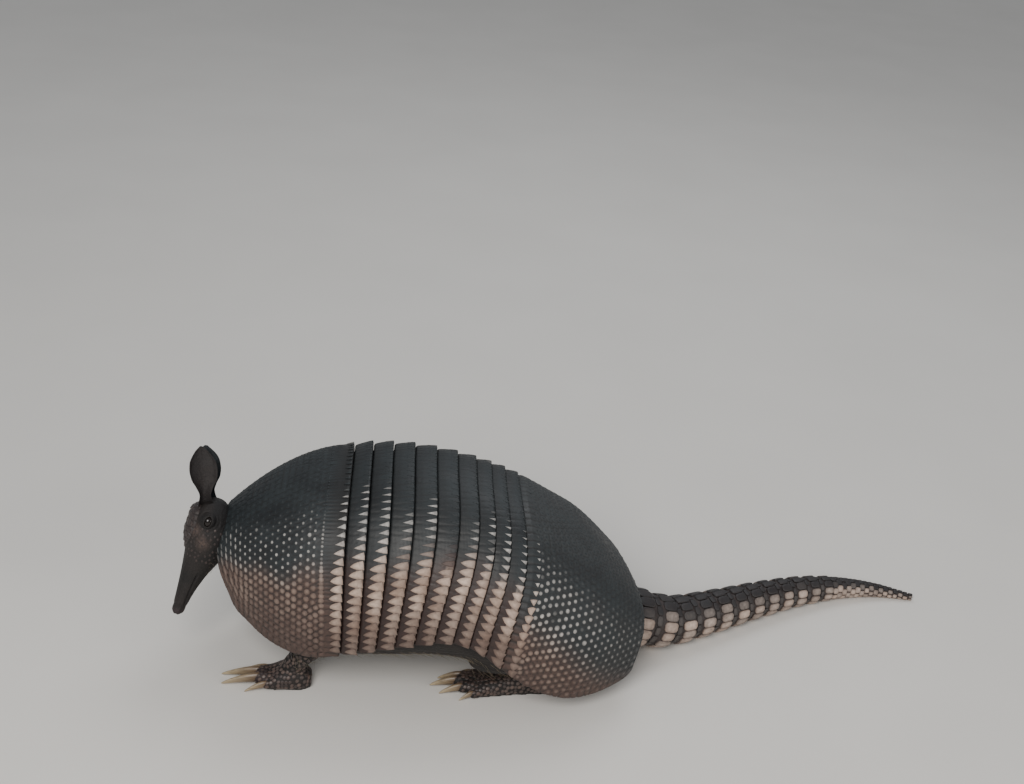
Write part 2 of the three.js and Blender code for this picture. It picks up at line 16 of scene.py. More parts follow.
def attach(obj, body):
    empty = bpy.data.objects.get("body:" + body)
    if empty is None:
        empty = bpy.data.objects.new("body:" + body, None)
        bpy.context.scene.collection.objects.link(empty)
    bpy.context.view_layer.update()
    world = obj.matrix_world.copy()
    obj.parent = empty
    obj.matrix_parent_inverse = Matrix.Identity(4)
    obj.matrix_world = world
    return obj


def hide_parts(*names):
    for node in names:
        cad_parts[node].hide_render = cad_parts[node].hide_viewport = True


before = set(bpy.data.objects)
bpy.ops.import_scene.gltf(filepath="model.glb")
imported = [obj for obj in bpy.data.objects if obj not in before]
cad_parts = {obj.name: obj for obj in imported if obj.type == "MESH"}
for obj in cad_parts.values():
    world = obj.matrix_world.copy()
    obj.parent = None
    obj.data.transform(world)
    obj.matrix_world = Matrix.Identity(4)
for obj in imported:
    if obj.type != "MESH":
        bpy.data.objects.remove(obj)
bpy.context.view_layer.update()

# %% [markdown]
# Everything is worked out in millimetres and turned to metres when a mesh is made. A ramp is a
# smooth curve through a few values; it never overshoots, so widths and heights stay as stated.

# %% Curves
MM = 0.001
BODY_AT = np.array([-108.8, -5.2, 0.0])


def ramp(knots, values):
    knots, values = np.array(knots, float), np.array(values, float)
    step = np.diff(knots)
    slope = np.diff(values) / step
    tangent = np.r_[slope[0], np.zeros(len(step) - 1), slope[-1]]
    for i in range(1, len(step)):
        if slope[i - 1] * slope[i] > 0:
            before, after = 2 * step[i] + step[i - 1], step[i] + 2 * step[i - 1]
            tangent[i] = (before + after) / (before / slope[i - 1] + after / slope[i])

    def at(x):
        x = np.clip(x, knots[0], knots[-1])
        i = np.searchsorted(knots[1:-1], x, side="left")
        t = (x - knots[i]) / step[i]
        return (
            values[i] * (2 * t**3 - 3 * t**2 + 1)
            + tangent[i] * step[i] * (t**3 - 2 * t**2 + t)
            + values[i + 1] * (3 * t**2 - 2 * t**3)
            + tangent[i + 1] * step[i] * (t**3 - t**2)
        )

    return at


def smooth(low, high, x):
    t = np.clip((x - low) / (high - low), 0, 1)
    return t * t * (3 - 2 * t)


def bell(x, width):
    return np.exp(-((x / width) ** 2))


def power(x, p):
    return np.sign(x) * np.abs(x) ** p


def unit(v):
    return v / np.maximum(np.linalg.norm(v, axis=-1, keepdims=True), 1e-12)


# %% [markdown]
# The carapace is one swept surface. A guide curve runs through the body from neck to tail, and an
# arched section stands on it. A place on the shell is given by s, the distance from the neck, and
# side, from -1 at the left lower edge over 0 at the crest to 1 at the right lower edge.

# %% The carapace's surface
SCAPULAR, PITCH, SPREAD, PELVIC, BANDS = 63.0, 10.8, -0.2, 103.0, 9
SHELL = SCAPULAR + BANDS * PITCH + PELVIC
BACK_HEIGHT, PLATE, GAP = 70.0, 5.0, 0.3
pitch_at = ramp([0, 0.25, 0.5, 0.75, 1], [37, 3, -18, -17, -24])
yaw_at = ramp([0, 0.25, 0.5, 0.75, 1], [0, 0, 0, -5, -12])
half_width_at = ramp([0, 0.2, 0.5, 0.8, 1], [42, 86, 93, 90, 70])
rise_at = ramp([0, 0.2, 0.5, 0.8, 1], [74, 87, 94, 81, 57])
wrap_at = ramp([0, 0.2, 0.5, 0.8, 1], [86, 109, 88, 106, 98])
lean_at = ramp([0, 0.5, 1], [21, -8, -4])
bow_at = ramp([0, 0.5, 1], [-9, 5, 6.5])
sweep_at = ramp([0, 0.5, 1], [6.5, -2, -11])


def heading(u):
    pitch, yaw = np.radians(pitch_at(u)), np.radians(yaw_at(u))
    along = np.stack([np.cos(pitch) * np.cos(yaw), -np.cos(pitch) * np.sin(yaw), np.sin(pitch)], -1)
    left = np.stack([-np.sin(yaw), -np.cos(yaw), 0 * yaw], -1)
    return along, left, np.cross(left, along)


def walk_the_back():
    steps = 120
    along, _, _ = heading((np.arange(steps) + 0.5) / steps)
    points = np.vstack([np.zeros(3), np.cumsum(along * SHELL / steps, 0)])
    return points - points[steps // 2] + [0, 0, BACK_HEIGHT]


BACK = walk_the_back()


def back_at(s):
    u = np.clip(s / SHELL, 0, 1)
    place = u * (len(BACK) - 1)
    point = np.stack([np.interp(place, np.arange(len(BACK)), BACK[:, k]) for k in range(3)], -1)
    return point + heading(u)[0] * (s - u * SHELL)[..., None]


def shell_point(s, side, lift=0.0):
    s, side, lift = np.broadcast_arrays(np.asarray(s, float), side, lift)
    u = s / SHELL
    along, left, up = heading(u)
    angle = np.radians(wrap_at(u)) * side
    across, above = power(np.sin(angle), 0.92), power(np.cos(angle), 0.92)
    shift = (
        -(1 - above) * rise_at(u) * np.tan(np.radians(lean_at(u)))
        + bow_at(u) * np.sin(np.pi * np.abs(side)) ** 2
        - sweep_at(u) * np.abs(side) ** 3
    )
    return (
        back_at(s)
        - left * (across * (half_width_at(u) + lift))[..., None]
        + up * (above * (rise_at(u) + lift))[..., None]
        + along * shift[..., None]
    )


def shell_frame(s, side, lift=0.0):
    """Place, outward normal and the direction to the tail."""
    tailward = unit(shell_point(s + 0.5, side, lift) - shell_point(s - 0.5, side, lift))
    round_it = unit(shell_point(s, side + 0.004, lift) - shell_point(s, side - 0.004, lift))
    normal = unit(np.cross(tailward, round_it))
    return shell_point(s, side, lift), normal, tailward


def band_edge(k):
    part = k / BANDS
    return SCAPULAR + BANDS * PITCH * (part + SPREAD * part * (1 - part))


def side_at(s, arc):
    """The side value at each distance arc over the shell from the crest, at distance s."""
    sides = np.linspace(-1, 1, 161)
    p = shell_point(s, sides)
    length = np.r_[0, np.cumsum(np.linalg.norm(np.diff(p, axis=0), axis=1))]
    length -= np.interp(0, sides, length)
    return np.interp(arc, length, sides), length[0], length[-1]


print("crest, mm", shell_point(np.array([0.0, 131.6, SHELL]), 0.0).round(1).tolist())

# %% [markdown]
# One function turns points and faces into a mesh object. Attributes ride with the points, so a
# finish can read how pale a scute is or how deep in a groove a place lies.

# %% Meshes


def set_attribute(mesh, key, values):
    values = np.asarray(values, np.float32)
    vectors = values.ndim == 2
    layer = mesh.attributes.new(key, "FLOAT_VECTOR" if vectors else "FLOAT", "POINT")
    layer.data.foreach_set("vector" if vectors else "value", values.ravel())


def read_all(items, key, width, kind=float):
    flat = np.empty(len(items) * width, kind)
    items.foreach_get(key, flat)
    return flat.reshape(-1, width) if width > 1 else flat


def points_of(obj):
    return read_all(obj.data.vertices, "co", 3) / MM - BODY_AT


def normals_of(obj):
    return np.array([v.normal for v in obj.data.vertices])


def new_object(name, points, faces, attributes=None, smooth_faces=True, at=BODY_AT):
    mesh = bpy.data.meshes.new(name)
    points = (np.asarray(points) + at) * MM
    mesh.from_pydata(points.tolist(), [], [list(map(int, f)) for f in faces])
    for key, values in (attributes or {}).items():
        set_attribute(mesh, key, values)
    mesh.validate()
    if smooth_faces:
        mesh.shade_smooth()
    obj = bpy.data.objects.new(name, mesh)
    bpy.context.scene.collection.objects.link(obj)
    return obj


def ring_quads(rings, count):
    i, j = np.meshgrid(np.arange(rings - 1), np.arange(count), indexing="ij")
    a, b = i * count + j, i * count + (j + 1) % count
    return np.stack([a, b, b + count, a + count], -1).reshape(-1, 4).tolist()


def tube_faces(rings, count):
    """Faces of a closed loft: rings of count points, then one middle point for each end."""
    faces, end = ring_quads(rings, count), (rings - 1) * count
    for k in range(count):
        n = (k + 1) % count
        faces += [[rings * count, n, k], [rings * count + 1, end + k, end + n]]
    return faces


def face_outward(obj):
    bm = bmesh.new()
    bm.from_mesh(obj.data)
    bmesh.ops.recalc_face_normals(bm, faces=bm.faces)
    if bm.calc_volume(signed=True) < 0:
        bmesh.ops.reverse_faces(bm, faces=bm.faces)
    bm.to_mesh(obj.data)
    bm.free()
    return obj


def kd_tree(points):
    tree = kdtree.KDTree(len(points))
    for i, p in enumerate(points):
        tree.insert(p, i)
    tree.balance()
    return tree


def loft(name, rings, attributes=None):
    rings = np.asarray(rings, float)
    points = np.vstack([rings.reshape(-1, 3), rings[0].mean(0), rings[-1].mean(0)])
    return face_outward(new_object(name, points, tube_faces(*rings.shape[:2]), attributes))


def count_triangles(obj):
    return sum(len(p.vertices) - 2 for p in obj.data.polygons)


def drop(*objects):
    for obj in objects:
        bpy.data.objects.remove(obj)


# %% [markdown]
# Colours are given as the hex values a painter would pick on a screen, and turned to the linear
# values that the renderer adds and multiplies. One helper adds a node with its settings and links.

# %% Colours and nodes


def colour(hex_value):
    channels = [int(hex_value[i : i + 2], 16) / 255 for i in (1, 3, 5)]
    return [c / 12.92 if c <= 0.04045 else ((c + 0.055) / 1.055) ** 2.4 for c in channels] + [1.0]


def put(tree, socket, value):
    """Links another socket, or sets a value. A hex string is a colour."""
    if isinstance(value, bpy.types.NodeSocket):
        tree.links.new(value, socket)
    elif isinstance(value, str) and value.startswith("#"):
        socket.default_value = colour(value)
    else:
        socket.default_value = value


def node(tree, kind, inputs=None, **settings):
    made = tree.nodes.new(kind)
    for key, value in settings.items():
        setattr(made, key, value)
    for key, value in (inputs or {}).items():
        put(tree, made.inputs[key], value)
    return made


def finish(tree, **values):
    """Sets or links inputs of the material's shader."""
    for key, value in values.items():
        put(tree, tree.nodes["Principled BSDF"].inputs[key.replace("_", " ")], value)


def new_material(name, **values):
    """Gives the material, its tree and the Object coordinates that its patterns read."""
    material = bpy.data.materials.new(name)
    material.use_nodes = True
    tree = material.node_tree
    finish(tree, **values)
    return material, tree, node(tree, "ShaderNodeTexCoord").outputs["Object"]


def mottled_material(name, scale, low, high, **values):
    """Two tones in soft blotches."""
    material, tree, place = new_material(name, **values)
    blotch = node(tree, "ShaderNodeTexNoise", {"Vector": place, "Scale": scale}).outputs[0]
    tone = node(tree, "ShaderNodeMix", {0: blotch, 6: low, 7: high}, data_type="RGBA").outputs[2]
    finish(tree, Base_Color=tone)
    return material


# %% [markdown]
# A scute is bone under a skin of horn, like a fingernail: satin, hard, a little greasy. Old horn on
# the back is blue-grey and dull; on the flanks the middle of each scute is rubbed to cream, and low
# down the horn is thin and the whole scute shows pinkish tan. The grooves, and the front of each band
# under the edge of the one before, are painted darker: painted shade, with some dirt.
# Horn has an IOR near 1.55 and a roughness near 0.5 where it is handled by grass and soil.

# %% The horn of the shell
def horn_material(name, rough):
    material, tree, place = new_material(name, IOR=1.55)
    tan, tone, crown, groove = (node(tree, "ShaderNodeAttribute", attribute_name=key).outputs["Fac"]
                                for key in ("tan", "tone", "crown", "groove"))
    blotch, fine = (node(tree, "ShaderNodeTexNoise", {"Vector": place, "Scale": scale,
                                                      "Detail": detail}).outputs[0]
                    for scale, detail in ((45.0, 3.0), (420.0, 4.0)))
    blotch_part, fine_part, worn, middle, roughness = (
        node(tree, "ShaderNodeMapRange", {"Value": value, "From Min": low, "From Max": high,
                                          "To Min": to_low, "To Max": to_high}).outputs[0]
        for value, low, high, to_low, to_high in (
            (blotch, 0.35, 0.65, 0.0, 1.0), (fine, 0.3, 0.7, 0.0, 1.0),
            (fine, 0.25, 0.6, 0.72, 1.0), (crown, 0.1, 0.95, 0.25, 1.0),
            (blotch, 0.3, 0.7, rough - 0.07, rough + 0.1)))
    patchy = node(tree, "ShaderNodeMath", {0: tone, 1: worn}, operation="MULTIPLY").outputs[0]
    rubbed = node(tree, "ShaderNodeMath", {0: patchy, 1: middle}, operation="MULTIPLY").outputs[0]
    # painted shade: the groove attribute darkens the grooves and each band's front, part shade and part
    # dirt
    groove_shade_and_dirt = node(tree, "ShaderNodeMath", {0: groove, 1: 0.75}, operation="MULTIPLY").outputs[0]
    made = {}
    for shade, share, low, high in (
            ("slate", blotch_part, "#13181b", "#1f2629"), ("maroon", fine_part, "#2b1a16", "#3e2823"),
            ("cream", fine_part, "#aaa6a2", "#d6d1cb"), ("rosy", blotch_part, "#b29785", "#e2c9b7"),
            ("back", tan, "slate", "maroon"), ("rubbed", tan, "cream", "rosy"),
            ("horn", rubbed, "back", "rubbed"), ("shade_and_marks", groove_shade_and_dirt, "horn", "#120f0e")):
        made[shade] = node(tree, "ShaderNodeMix", {0: share, 6: made.get(low, low),
                                                   7: made.get(high, high)},
                           data_type="RGBA").outputs[2]
    grain = node(tree, "ShaderNodeBump", {"Strength": 0.35, "Distance": 0.4 * MM, "Height": fine})
    finish(tree, Base_Color=made["shade_and_marks"], Normal=grain.outputs[0], Roughness=roughness)
    return material


SHELL_HORN = horn_material("keratin_shell", 0.56)
TAIL_HORN = horn_material("keratin_tail", 0.55)

# %% [markdown]
# The scutes and scales repeat by the hundred, so one Geometry Nodes tree sets them all. It takes a
# cloud of points that carry their own turn and size, puts one scale on each, turns the copies into
# real mesh, adds the plate they sit on and gives the whole a finish. The seed is fixed.

# %% The tree that lays scales


def build_scale_tree():
    tree = bpy.data.node_groups.new("lay_scales", "GeometryNodeTree")
    face = tree.interface
    for name, kind in (("Points", "Geometry"), ("Scale shape", "Object"), ("Plate", "Object"),
                       ("Finish", "Material"), ("Unevenness", "Float"), ("Seed", "Int")):
        face.new_socket(name, in_out="INPUT", socket_type="NodeSocket" + kind)
    face.new_socket("Armour", in_out="OUTPUT", socket_type="NodeSocketGeometry")
    given = tree.nodes.new("NodeGroupInput").outputs
    shape = node(tree, "GeometryNodeObjectInfo", {"Object": given["Scale shape"]})
    plate = node(tree, "GeometryNodeObjectInfo", {"Object": given["Plate"]})
    turn, size = (node(tree, "GeometryNodeInputNamedAttribute", {"Name": name},
                       data_type="FLOAT_VECTOR") for name in ("turn", "size"))
    least = node(tree, "ShaderNodeMath", {0: 1.0, 1: given["Unevenness"]}, operation="SUBTRACT")
    vary = node(tree, "FunctionNodeRandomValue", {"Min": least.outputs[0], "Max": 1.0,
                                                  "Seed": given["Seed"]}, data_type="FLOAT")
    vary_out = [s for s in vary.outputs if s.enabled][0]
    grown = node(tree, "ShaderNodeVectorMath", {0: size.outputs[0], "Scale": vary_out},
                 operation="SCALE")
    as_turn = node(tree, "FunctionNodeEulerToRotation", {"Euler": turn.outputs[0]})
    copies = node(tree, "GeometryNodeInstanceOnPoints", {
        "Points": given["Points"], "Instance": shape.outputs["Geometry"],
        "Rotation": as_turn.outputs[0], "Scale": grown.outputs[0]})
    real = node(tree, "GeometryNodeRealizeInstances", {"Geometry": copies.outputs[0]})
    both = node(tree, "GeometryNodeJoinGeometry")
    tree.links.new(plate.outputs["Geometry"], both.inputs[0])
    tree.links.new(real.outputs[0], both.inputs[0])
    solid = node(tree, "GeometryNodeRealizeInstances", {"Geometry": both.outputs[0]})
    paint = node(tree, "GeometryNodeSetMaterial", {"Geometry": solid.outputs[0],
                                                   "Material": given["Finish"]})
    tree.links.new(paint.outputs[0], tree.nodes.new("NodeGroupOutput").inputs["Armour"])
    return tree


SCALE_TREE = build_scale_tree()


def set_inputs(modifier, **values):
    by_name = {s.name: s.identifier for s in modifier.node_group.interface.items_tree
               if s.in_out == "INPUT"}
    for key, value in values.items():
        modifier[by_name[key.replace("_", " ")]] = value


def to_plain_mesh(obj, name):
    graph = bpy.context.evaluated_depsgraph_get()
    mesh = bpy.data.meshes.new_from_object(obj.evaluated_get(graph))
    bpy.data.objects.remove(obj)
    mesh.name = name
    plain = bpy.data.objects.new(name, mesh)
    bpy.context.scene.collection.objects.link(plain)
    return plain


def turns(tailward, normal):
    """Euler turns that point a scale's X to the tail and its Z outwards."""
    side = unit(np.cross(normal, tailward))
    front = np.cross(side, normal)
    return np.array([Matrix(np.stack([f, s, n], 1).tolist()).to_euler() for f, s, n in
                     zip(front, side, normal)])


def lay(name, places, normal, tailward, size, shape, material, plate, uneven, seed, **more):
    points = new_object(name + "_points", places, [],
                        {"turn": turns(tailward, normal), "size": size, **more}, False)
    modifier = points.modifiers.new("scales", "NODES")
    modifier.node_group = SCALE_TREE
    set_inputs(modifier, Scale_shape=shape, Finish=material, Unevenness=uneven, Seed=seed)
    if plate:
        set_inputs(modifier, Plate=plate)
    made = to_plain_mesh(points, name)
    if plate:
        drop(plate)
    made.data.shade_smooth()
    print(name, len(places), "scales,", count_triangles(made), "triangles")
    return made


# %% [markdown]
# Each scale shape is a small closed dome made once. A shield scute is a low round boss. The scutes
# on a free edge point to the head and end square at the edge: a narrow spike, a wider flare and a
# broad spade. A tail scale is a blunt tile that lifts towards the tail.

# %% The scale shapes


def dome(name, outline, levels):
    """A closed dome: the outline shrunk and lifted level by level, in millimetres."""
    outline = np.array(outline, float)
    rings, crown = [], []
    for step, (shrink, height) in enumerate(levels):
        lift = height * (np.ones(len(outline)) if outline.shape[1] < 3 else outline[:, 2])
        rings.append(np.column_stack([outline[:, :2] * shrink, lift]))
        crown += [step / len(levels)] * len(outline)
    top = np.append(np.zeros(2), rings[-1][:, 2].mean() * 1.02)
    points = np.vstack([np.vstack(rings), top, [0, 0, rings[0][:, 2].mean()]])
    count = len(outline)
    faces = ring_quads(len(levels), count)
    last, middle = (len(levels) - 1) * count, len(levels) * count
    for k in range(count):
        n = (k + 1) % count
        faces.append([last + k, last + n, middle])
        faces.append([middle + 1, n, k])
    obj = face_outward(new_object(name, points, faces, {"crown": crown + [1, 0]}, at=np.zeros(3)))
    obj.hide_render = True
    return obj


def oval_outline(count, squareness):
    angle = 2 * np.pi * (np.arange(count) + 0.5) / count
    return np.column_stack([power(np.cos(angle), squareness), power(np.sin(angle), squareness)])


DOME_LEVELS = [(1.0, -0.9), (0.95, 0.2), (0.74, 0.72), (0.38, 0.97)]
BOSS = dome("boss", oval_outline(10, 1.0), DOME_LEVELS)
TILE_LEVELS = [(1.0, -0.6), (1.0, 0.6), (0.88, 0.92), (0.5, 1.0)]
TILE = dome("tile", oval_outline(12, 0.6), TILE_LEVELS)
POINTED_LEVELS = [(1.0, -0.9), (0.98, 0.35), (0.86, 0.85), (0.45, 1.0)]


def pointed(name, edge):
    """A scale that points to the head: edge is its left side, from tip to rear corner."""
    left = [[x, -y, z] for x, y, z in edge]
    right = [[x, y, z] for x, y, z in reversed(edge)]
    return dome(name, [[-1, 0, 0.3]] + left + [[1.02, 0, 1.05]] + right, POINTED_LEVELS)


SPIKE = pointed(
    "spike", [[-0.52, 0.26, 0.55], [-0.05, 0.52, 0.8], [0.45, 0.79, 0.95], [0.96, 1, 1]])
FLARE = pointed("flare", [[-0.6, 0.28, 0.6], [-0.15, 0.57, 0.85], [0.4, 0.84, 1], [0.98, 1, 1]])
SPADE = pointed("spade", [[-0.72, 0.34, 0.6], [-0.34, 0.66, 0.85], [0.2, 0.9, 1], [0.98, 1, 1]])
SHAPES = [BOSS, TILE, SPIKE, FLARE, SPADE]

# %% [markdown]
# A shield is a curved plate 5 mm thick. Its scutes lie in rows that keep their distance from the
# edge next to the bands, each row shifted by half a scute, so they pack like honeycomb on the
# flanks. Where the shell narrows the rows would crowd, so near neighbours then push each other
# apart. The plate itself carries the grooves: a point's distances to its two nearest scutes differ
# little only in a groove between them.

# %% Rows of scutes on a shield
SIDE_LIMIT, END_SPACE = 0.975, 1.5


def scute_rows(from_s, to_s, pitch, from_the_rear, margin):
    sides = np.linspace(-SIDE_LIMIT, SIDE_LIMIT, 261)
    s_grid = np.linspace(from_s, to_s, 60)
    grid = shell_point(s_grid[None, :], sides[:, None])
    run = np.cumsum(np.linalg.norm(np.diff(grid, axis=1), axis=2), 1)
    run = np.hstack([np.zeros((len(sides), 1)), run])
    step, s_all, side_all = pitch * 0.88, [], []
    for row in range(int(run[:, -1].max() / step) + 1):
        away = margin + row * step
        want = run[:, -1] - away if from_the_rear else away + 0 * sides
        inside = (want > END_SPACE) & (want < run[:, -1] - END_SPACE)
        s_row = np.array([np.interp(w, r, s_grid) for w, r in zip(want, run)])
        curve = shell_point(s_row, sides)
        for half in (-1, 1):
            use = np.flatnonzero(inside & (sides * half >= 0))[::half]
            if len(use) < 3:
                continue
            arc = np.r_[0, np.cumsum(np.linalg.norm(np.diff(curve[use], axis=0), axis=1))]
            anchor = np.interp(0.5, np.abs(sides[use]), arc)
            shift = 0.5 * (row % 2)
            first = math.ceil((END_SPACE - anchor) / pitch - shift)
            last = math.floor((arc[-1] - END_SPACE - anchor) / pitch - shift)
            spot = anchor + (np.arange(first, last + 1) + shift) * pitch
            side_all.append(np.interp(spot, arc, sides[use]))
            s_all.append(np.interp(spot, arc, s_row[use]))
    return np.concatenate(s_all), np.concatenate(side_all)


def thin_out(points, least):
    keep = []
    for i, p in enumerate(points):
        if not keep or np.min(np.sum((points[keep] - p) ** 2, 1)) > least**2:
            keep.append(i)
    return keep


def push_apart(s, side, low, high, pitch, rounds):
    for _ in range(rounds):
        place, _, tailward = shell_frame(s, side)
        round_it = shell_point(s, side + 0.002) - shell_point(s, side - 0.002)
        stretch = np.linalg.norm(round_it, axis=1) / 0.004
        long = np.linalg.norm(shell_point(s + 0.5, side) - shell_point(s - 0.5, side), axis=1)
        away = place[:, None] - place[None]
        gap = np.linalg.norm(away, axis=2) + 1e-9
        press = np.clip(1 - gap / (pitch * 1.06), 0, None) / gap
        np.fill_diagonal(press, 0)
        move = 0.45 * pitch * np.sum(away * press[..., None], 1)
        s = np.clip(s + np.sum(move * tailward, 1) / long, low, high)
        side = side + np.sum(move * unit(round_it), 1) / stretch
        side = np.clip(side, -SIDE_LIMIT, SIDE_LIMIT)
    return s, side


def two_nearest(points, centres):
    tree = kd_tree(centres)
    return np.array([[found[2] for found in tree.find_n(p, 2)] for p in points]).T


def groove_depth(points, centres, width):
    near, far = two_nearest(points, centres)
    return 1 - smooth(0.15 * width, width, far - near)


def rim_round(part, length, radius):
    """How far the outer face drops near the two ends of a plate."""
    near = np.minimum(part, 1 - part) * length
    inside = np.clip(1 - near / radius, 0, 1)
    return radius * (1 - np.sqrt(np.maximum(1 - inside**2, 0)))


WRAP_LENGTH, GROOVE_DEPTH = 330.0, 0.45  # round the body from edge to edge; into the plate


def reach_at(s):
    """The lower corners at the neck and at the tail are rounded off."""
    front, rear = np.clip(1 - s / 27, 0, 1), np.clip(1 - (SHELL - s) / 30, 0, 1)
    return 1 - 0.16 * (1 - np.sqrt(1 - front**2)) - 0.12 * (1 - np.sqrt(1 - rear**2))


def plate_body(name, from_s, to_s, lift_at, rows, columns, tan_at, tone_at, groove_at,
               band_front_shade_at=None):
    """A plate's outer face, with its grooves, joined to a plainer inner face."""
    part, sides = np.linspace(0, 1, rows), np.linspace(-1, 1, columns)
    s = from_s + part * (to_s - from_s)
    edge = rim_round((sides + 1) / 2, WRAP_LENGTH, 1.4)[:, None]
    lift = (lift_at(part) - rim_round(part, to_s - from_s, 0.9))[None, :] - edge
    s, side = np.broadcast_arrays(s[None, :], sides[:, None] * reach_at(s)[None, :])
    groove = groove_at(shell_point(s, side, lift).reshape(-1, 3)).reshape(s.shape)
    outer = shell_point(s, side, lift - GROOVE_DEPTH * groove)
    # painted shade: the front of a band, which lies under the edge of the band before, is darkened like
    # a groove
    if band_front_shade_at:
        groove = np.maximum(groove, band_front_shade_at(s))
    inner_part = 0.5 + 0.5 * np.cos(np.linspace(0, np.pi, 5 + rows // 10))
    inner_s = from_s + inner_part * (to_s - from_s)
    inner = shell_point(inner_s[None, :], sides[:, None] * reach_at(inner_s)[None, :], -PLATE)
    rings = np.concatenate([outer, inner], 1)

    def pad(a, within=0.0):
        """Adds values for the inner face and for the middle points of the two ends."""
        return np.r_[np.concatenate([a, within + np.zeros(inner.shape[:2])], 1).ravel(), 0, 0]

    return loft(name, rings, {"groove": pad(groove), "tan": pad(tan_at(side, s), 1.0),
                              "tone": pad(tone_at(side, s)), "crown": pad(1 + 0 * s)})


# How high up the flank a place lies: pale bosses start where the back turns into the flank, and
# the tan horn begins lower still.
def tan_at(side, s):
    wave = 0.03 * np.sin(s * 0.11 + 1.3) + 0.02 * np.sin(s * 0.31)
    return smooth(0.5, 0.66, np.abs(side) + wave)


def pale_at(side, s):
    wave = 0.03 * np.sin(s * 0.17) + 0.02 * np.sin(s * 0.53 + 2)
    return smooth(0.27, 0.45, np.abs(side) + wave)


def scatter(seed, count):
    return np.random.default_rng(seed).random(count)


# %% [markdown]
# Along the free rear edge of every band, and of the shoulder shield, stands a row of pale scutes
# that point to the head. High on the flank they are spikes, small and apart; lower down they widen
# to flares and then to spades, which meet and turn the edge into one pale strip. The rump shield
# has a smaller row of the same kind along its front.

# %% A row of pointed scutes on a free edge
def band_lift(part):
    return np.interp(part, [0, 0.35, 0.7, 1], [-1.8, -0.6, 0.25, 0.6])


def walk_down(start, end):
    """Distances from the crest down one side: the scutes grow a little wider low on the flank."""
    arcs = [start]
    while arcs[-1] < end * 0.985:
        arcs.append(arcs[-1] + edge_pitch(arcs[-1]))
    return np.array(arcs[:-1])


def edge_pitch(arc):
    return 6.0 + 0.6 * smooth(45, 95, np.abs(arc))


# Where the pale scutes begin on the left flank, from the shoulder's edge to the ninth band.
PALE_FROM = [0.17, 0.14, 0.15, 0.3, 0.2, 0.56, 0.3, 0.22, 0.235, 0.25]


def worn_at(number, side):
    """Where the pale horn is rubbed to grey, on the middle bands."""
    spot = {3: 0.5, 4: 0.48, 5: 0.56, 6: 0.43}.get(number, 2.0)
    return bell(np.abs(side) + 0.06 * np.sign(side) - spot + 0.06, 0.09)


def edge_row(number, from_s, to_s, lift_at):
    """Scutes along a free edge: their shapes, then places, turns and sizes, then attributes."""
    width, middle = to_s - from_s, (from_s + to_s) / 2
    _, low, high = side_at(middle, 0.0)
    shift = 1.5 + 2.4 * (number % 2)
    arcs = np.r_[-walk_down(6.0 - shift, -low)[::-1], walk_down(shift, high)]
    side, _, _ = side_at(middle, arcs)
    down, count = np.abs(side), len(side)
    luck, wear = scatter(30 + number, count), scatter(60 + number, count)
    begin = np.where(side < 0, PALE_FROM[number], 0.17 + 0.025 * (number * 4 % 7))
    pale = smooth(begin, begin + 0.1, down)
    late = down - 0.07 * smooth(6, 8, number)
    tan, broad, met = smooth(0.4, 0.6, late), smooth(0.24, 0.4, late), smooth(0.42, 0.62, late)
    half_part = (0.19 + 0.04 * pale + 0.03 * broad + 0.12 * met) * (0.92 + 0.14 * wear)
    on_rump = number > BANDS - 1
    if on_rump:
        half_part = half_part * (0.7 + 0.2 * met)
    s, reach = to_s - width * (half_part + 0.02), width * half_part
    hump = lift_at(1 - half_part) - (lift_at(1 - 2 * half_part) + lift_at(1.0)) / 2
    tip = shell_point(s - reach, side, lift_at(1 - 2 * half_part) + 0.7 * hump)
    end = shell_point(s + reach, side, lift_at(1.0) + 0.7 * hump)
    tailward = unit(end - tip)
    _, normal, _ = shell_frame(s, side)
    normal = unit(normal - tailward * np.sum(normal * tailward, 1)[:, None])
    worn = worn_at(number, side)
    tone = pale * (0.72 + 0.28 * luck) * (1 - 0.8 * worn * smooth(0.0, 0.5, wear))
    # painted shade: the scutes darken towards the lower rim, where the floor shades the flank
    tone = tone * (1 - 0.68 * smooth(0.68, 0.98, down))
    tone = np.where((scatter(80 + number, count) < 0.06) & (met < 0.5), tone * 0.25, tone)
    share = (0.17 + 0.02 * pale + 0.17 * broad + 0.16 * met) * (0.96 + 0.06 * luck)
    share = share * (1 - 0.3 * worn) * (0.75 + 0.25 * met if on_rump else 1.0)
    size = np.column_stack([np.linalg.norm(end - tip, axis=1) / 2, edge_pitch(arcs) * share,
                            0.3 - 0.1 * met + 0.06 * luck])
    spots = [(tip + end) / 2, normal, tailward, size]
    return np.digitize(met, [0.12, 0.75]), spots, {"tone": tone, "tan": tan, "groove": 0 * luck}


def lay_edge(name, plate, shape, spots, values):
    """Spikes high on the flank, then flares, and spades low down, added to the plate."""
    for kind, scale in enumerate((SPIKE, FLARE, SPADE)):
        chosen = shape == kind
        plate = lay(f"{name}_{kind}", *(a[chosen] for a in spots), scale, SHELL_HORN, plate,
                    0.03, 1, **{key: value[chosen] for key, value in values.items()})
    plate.name = plate.data.name = name
    return plate


# %% [markdown]
# The shields. Bosses are small and white where the back turns into the flank, larger and tan low
# down, and dark like the plate near the crest. Towards the neck's edge and round the lower rim the
# scutes are smaller and crowded.

# %% The two shields
CORNER_SPACE, ROW_GAP, ROUNDS = 0.03, 1.6, 14
SHOULDER_ROW, RUMP_ROW = 7.6, (2.5, 10.5)  # where the pointed rows lie, from the shields' edges


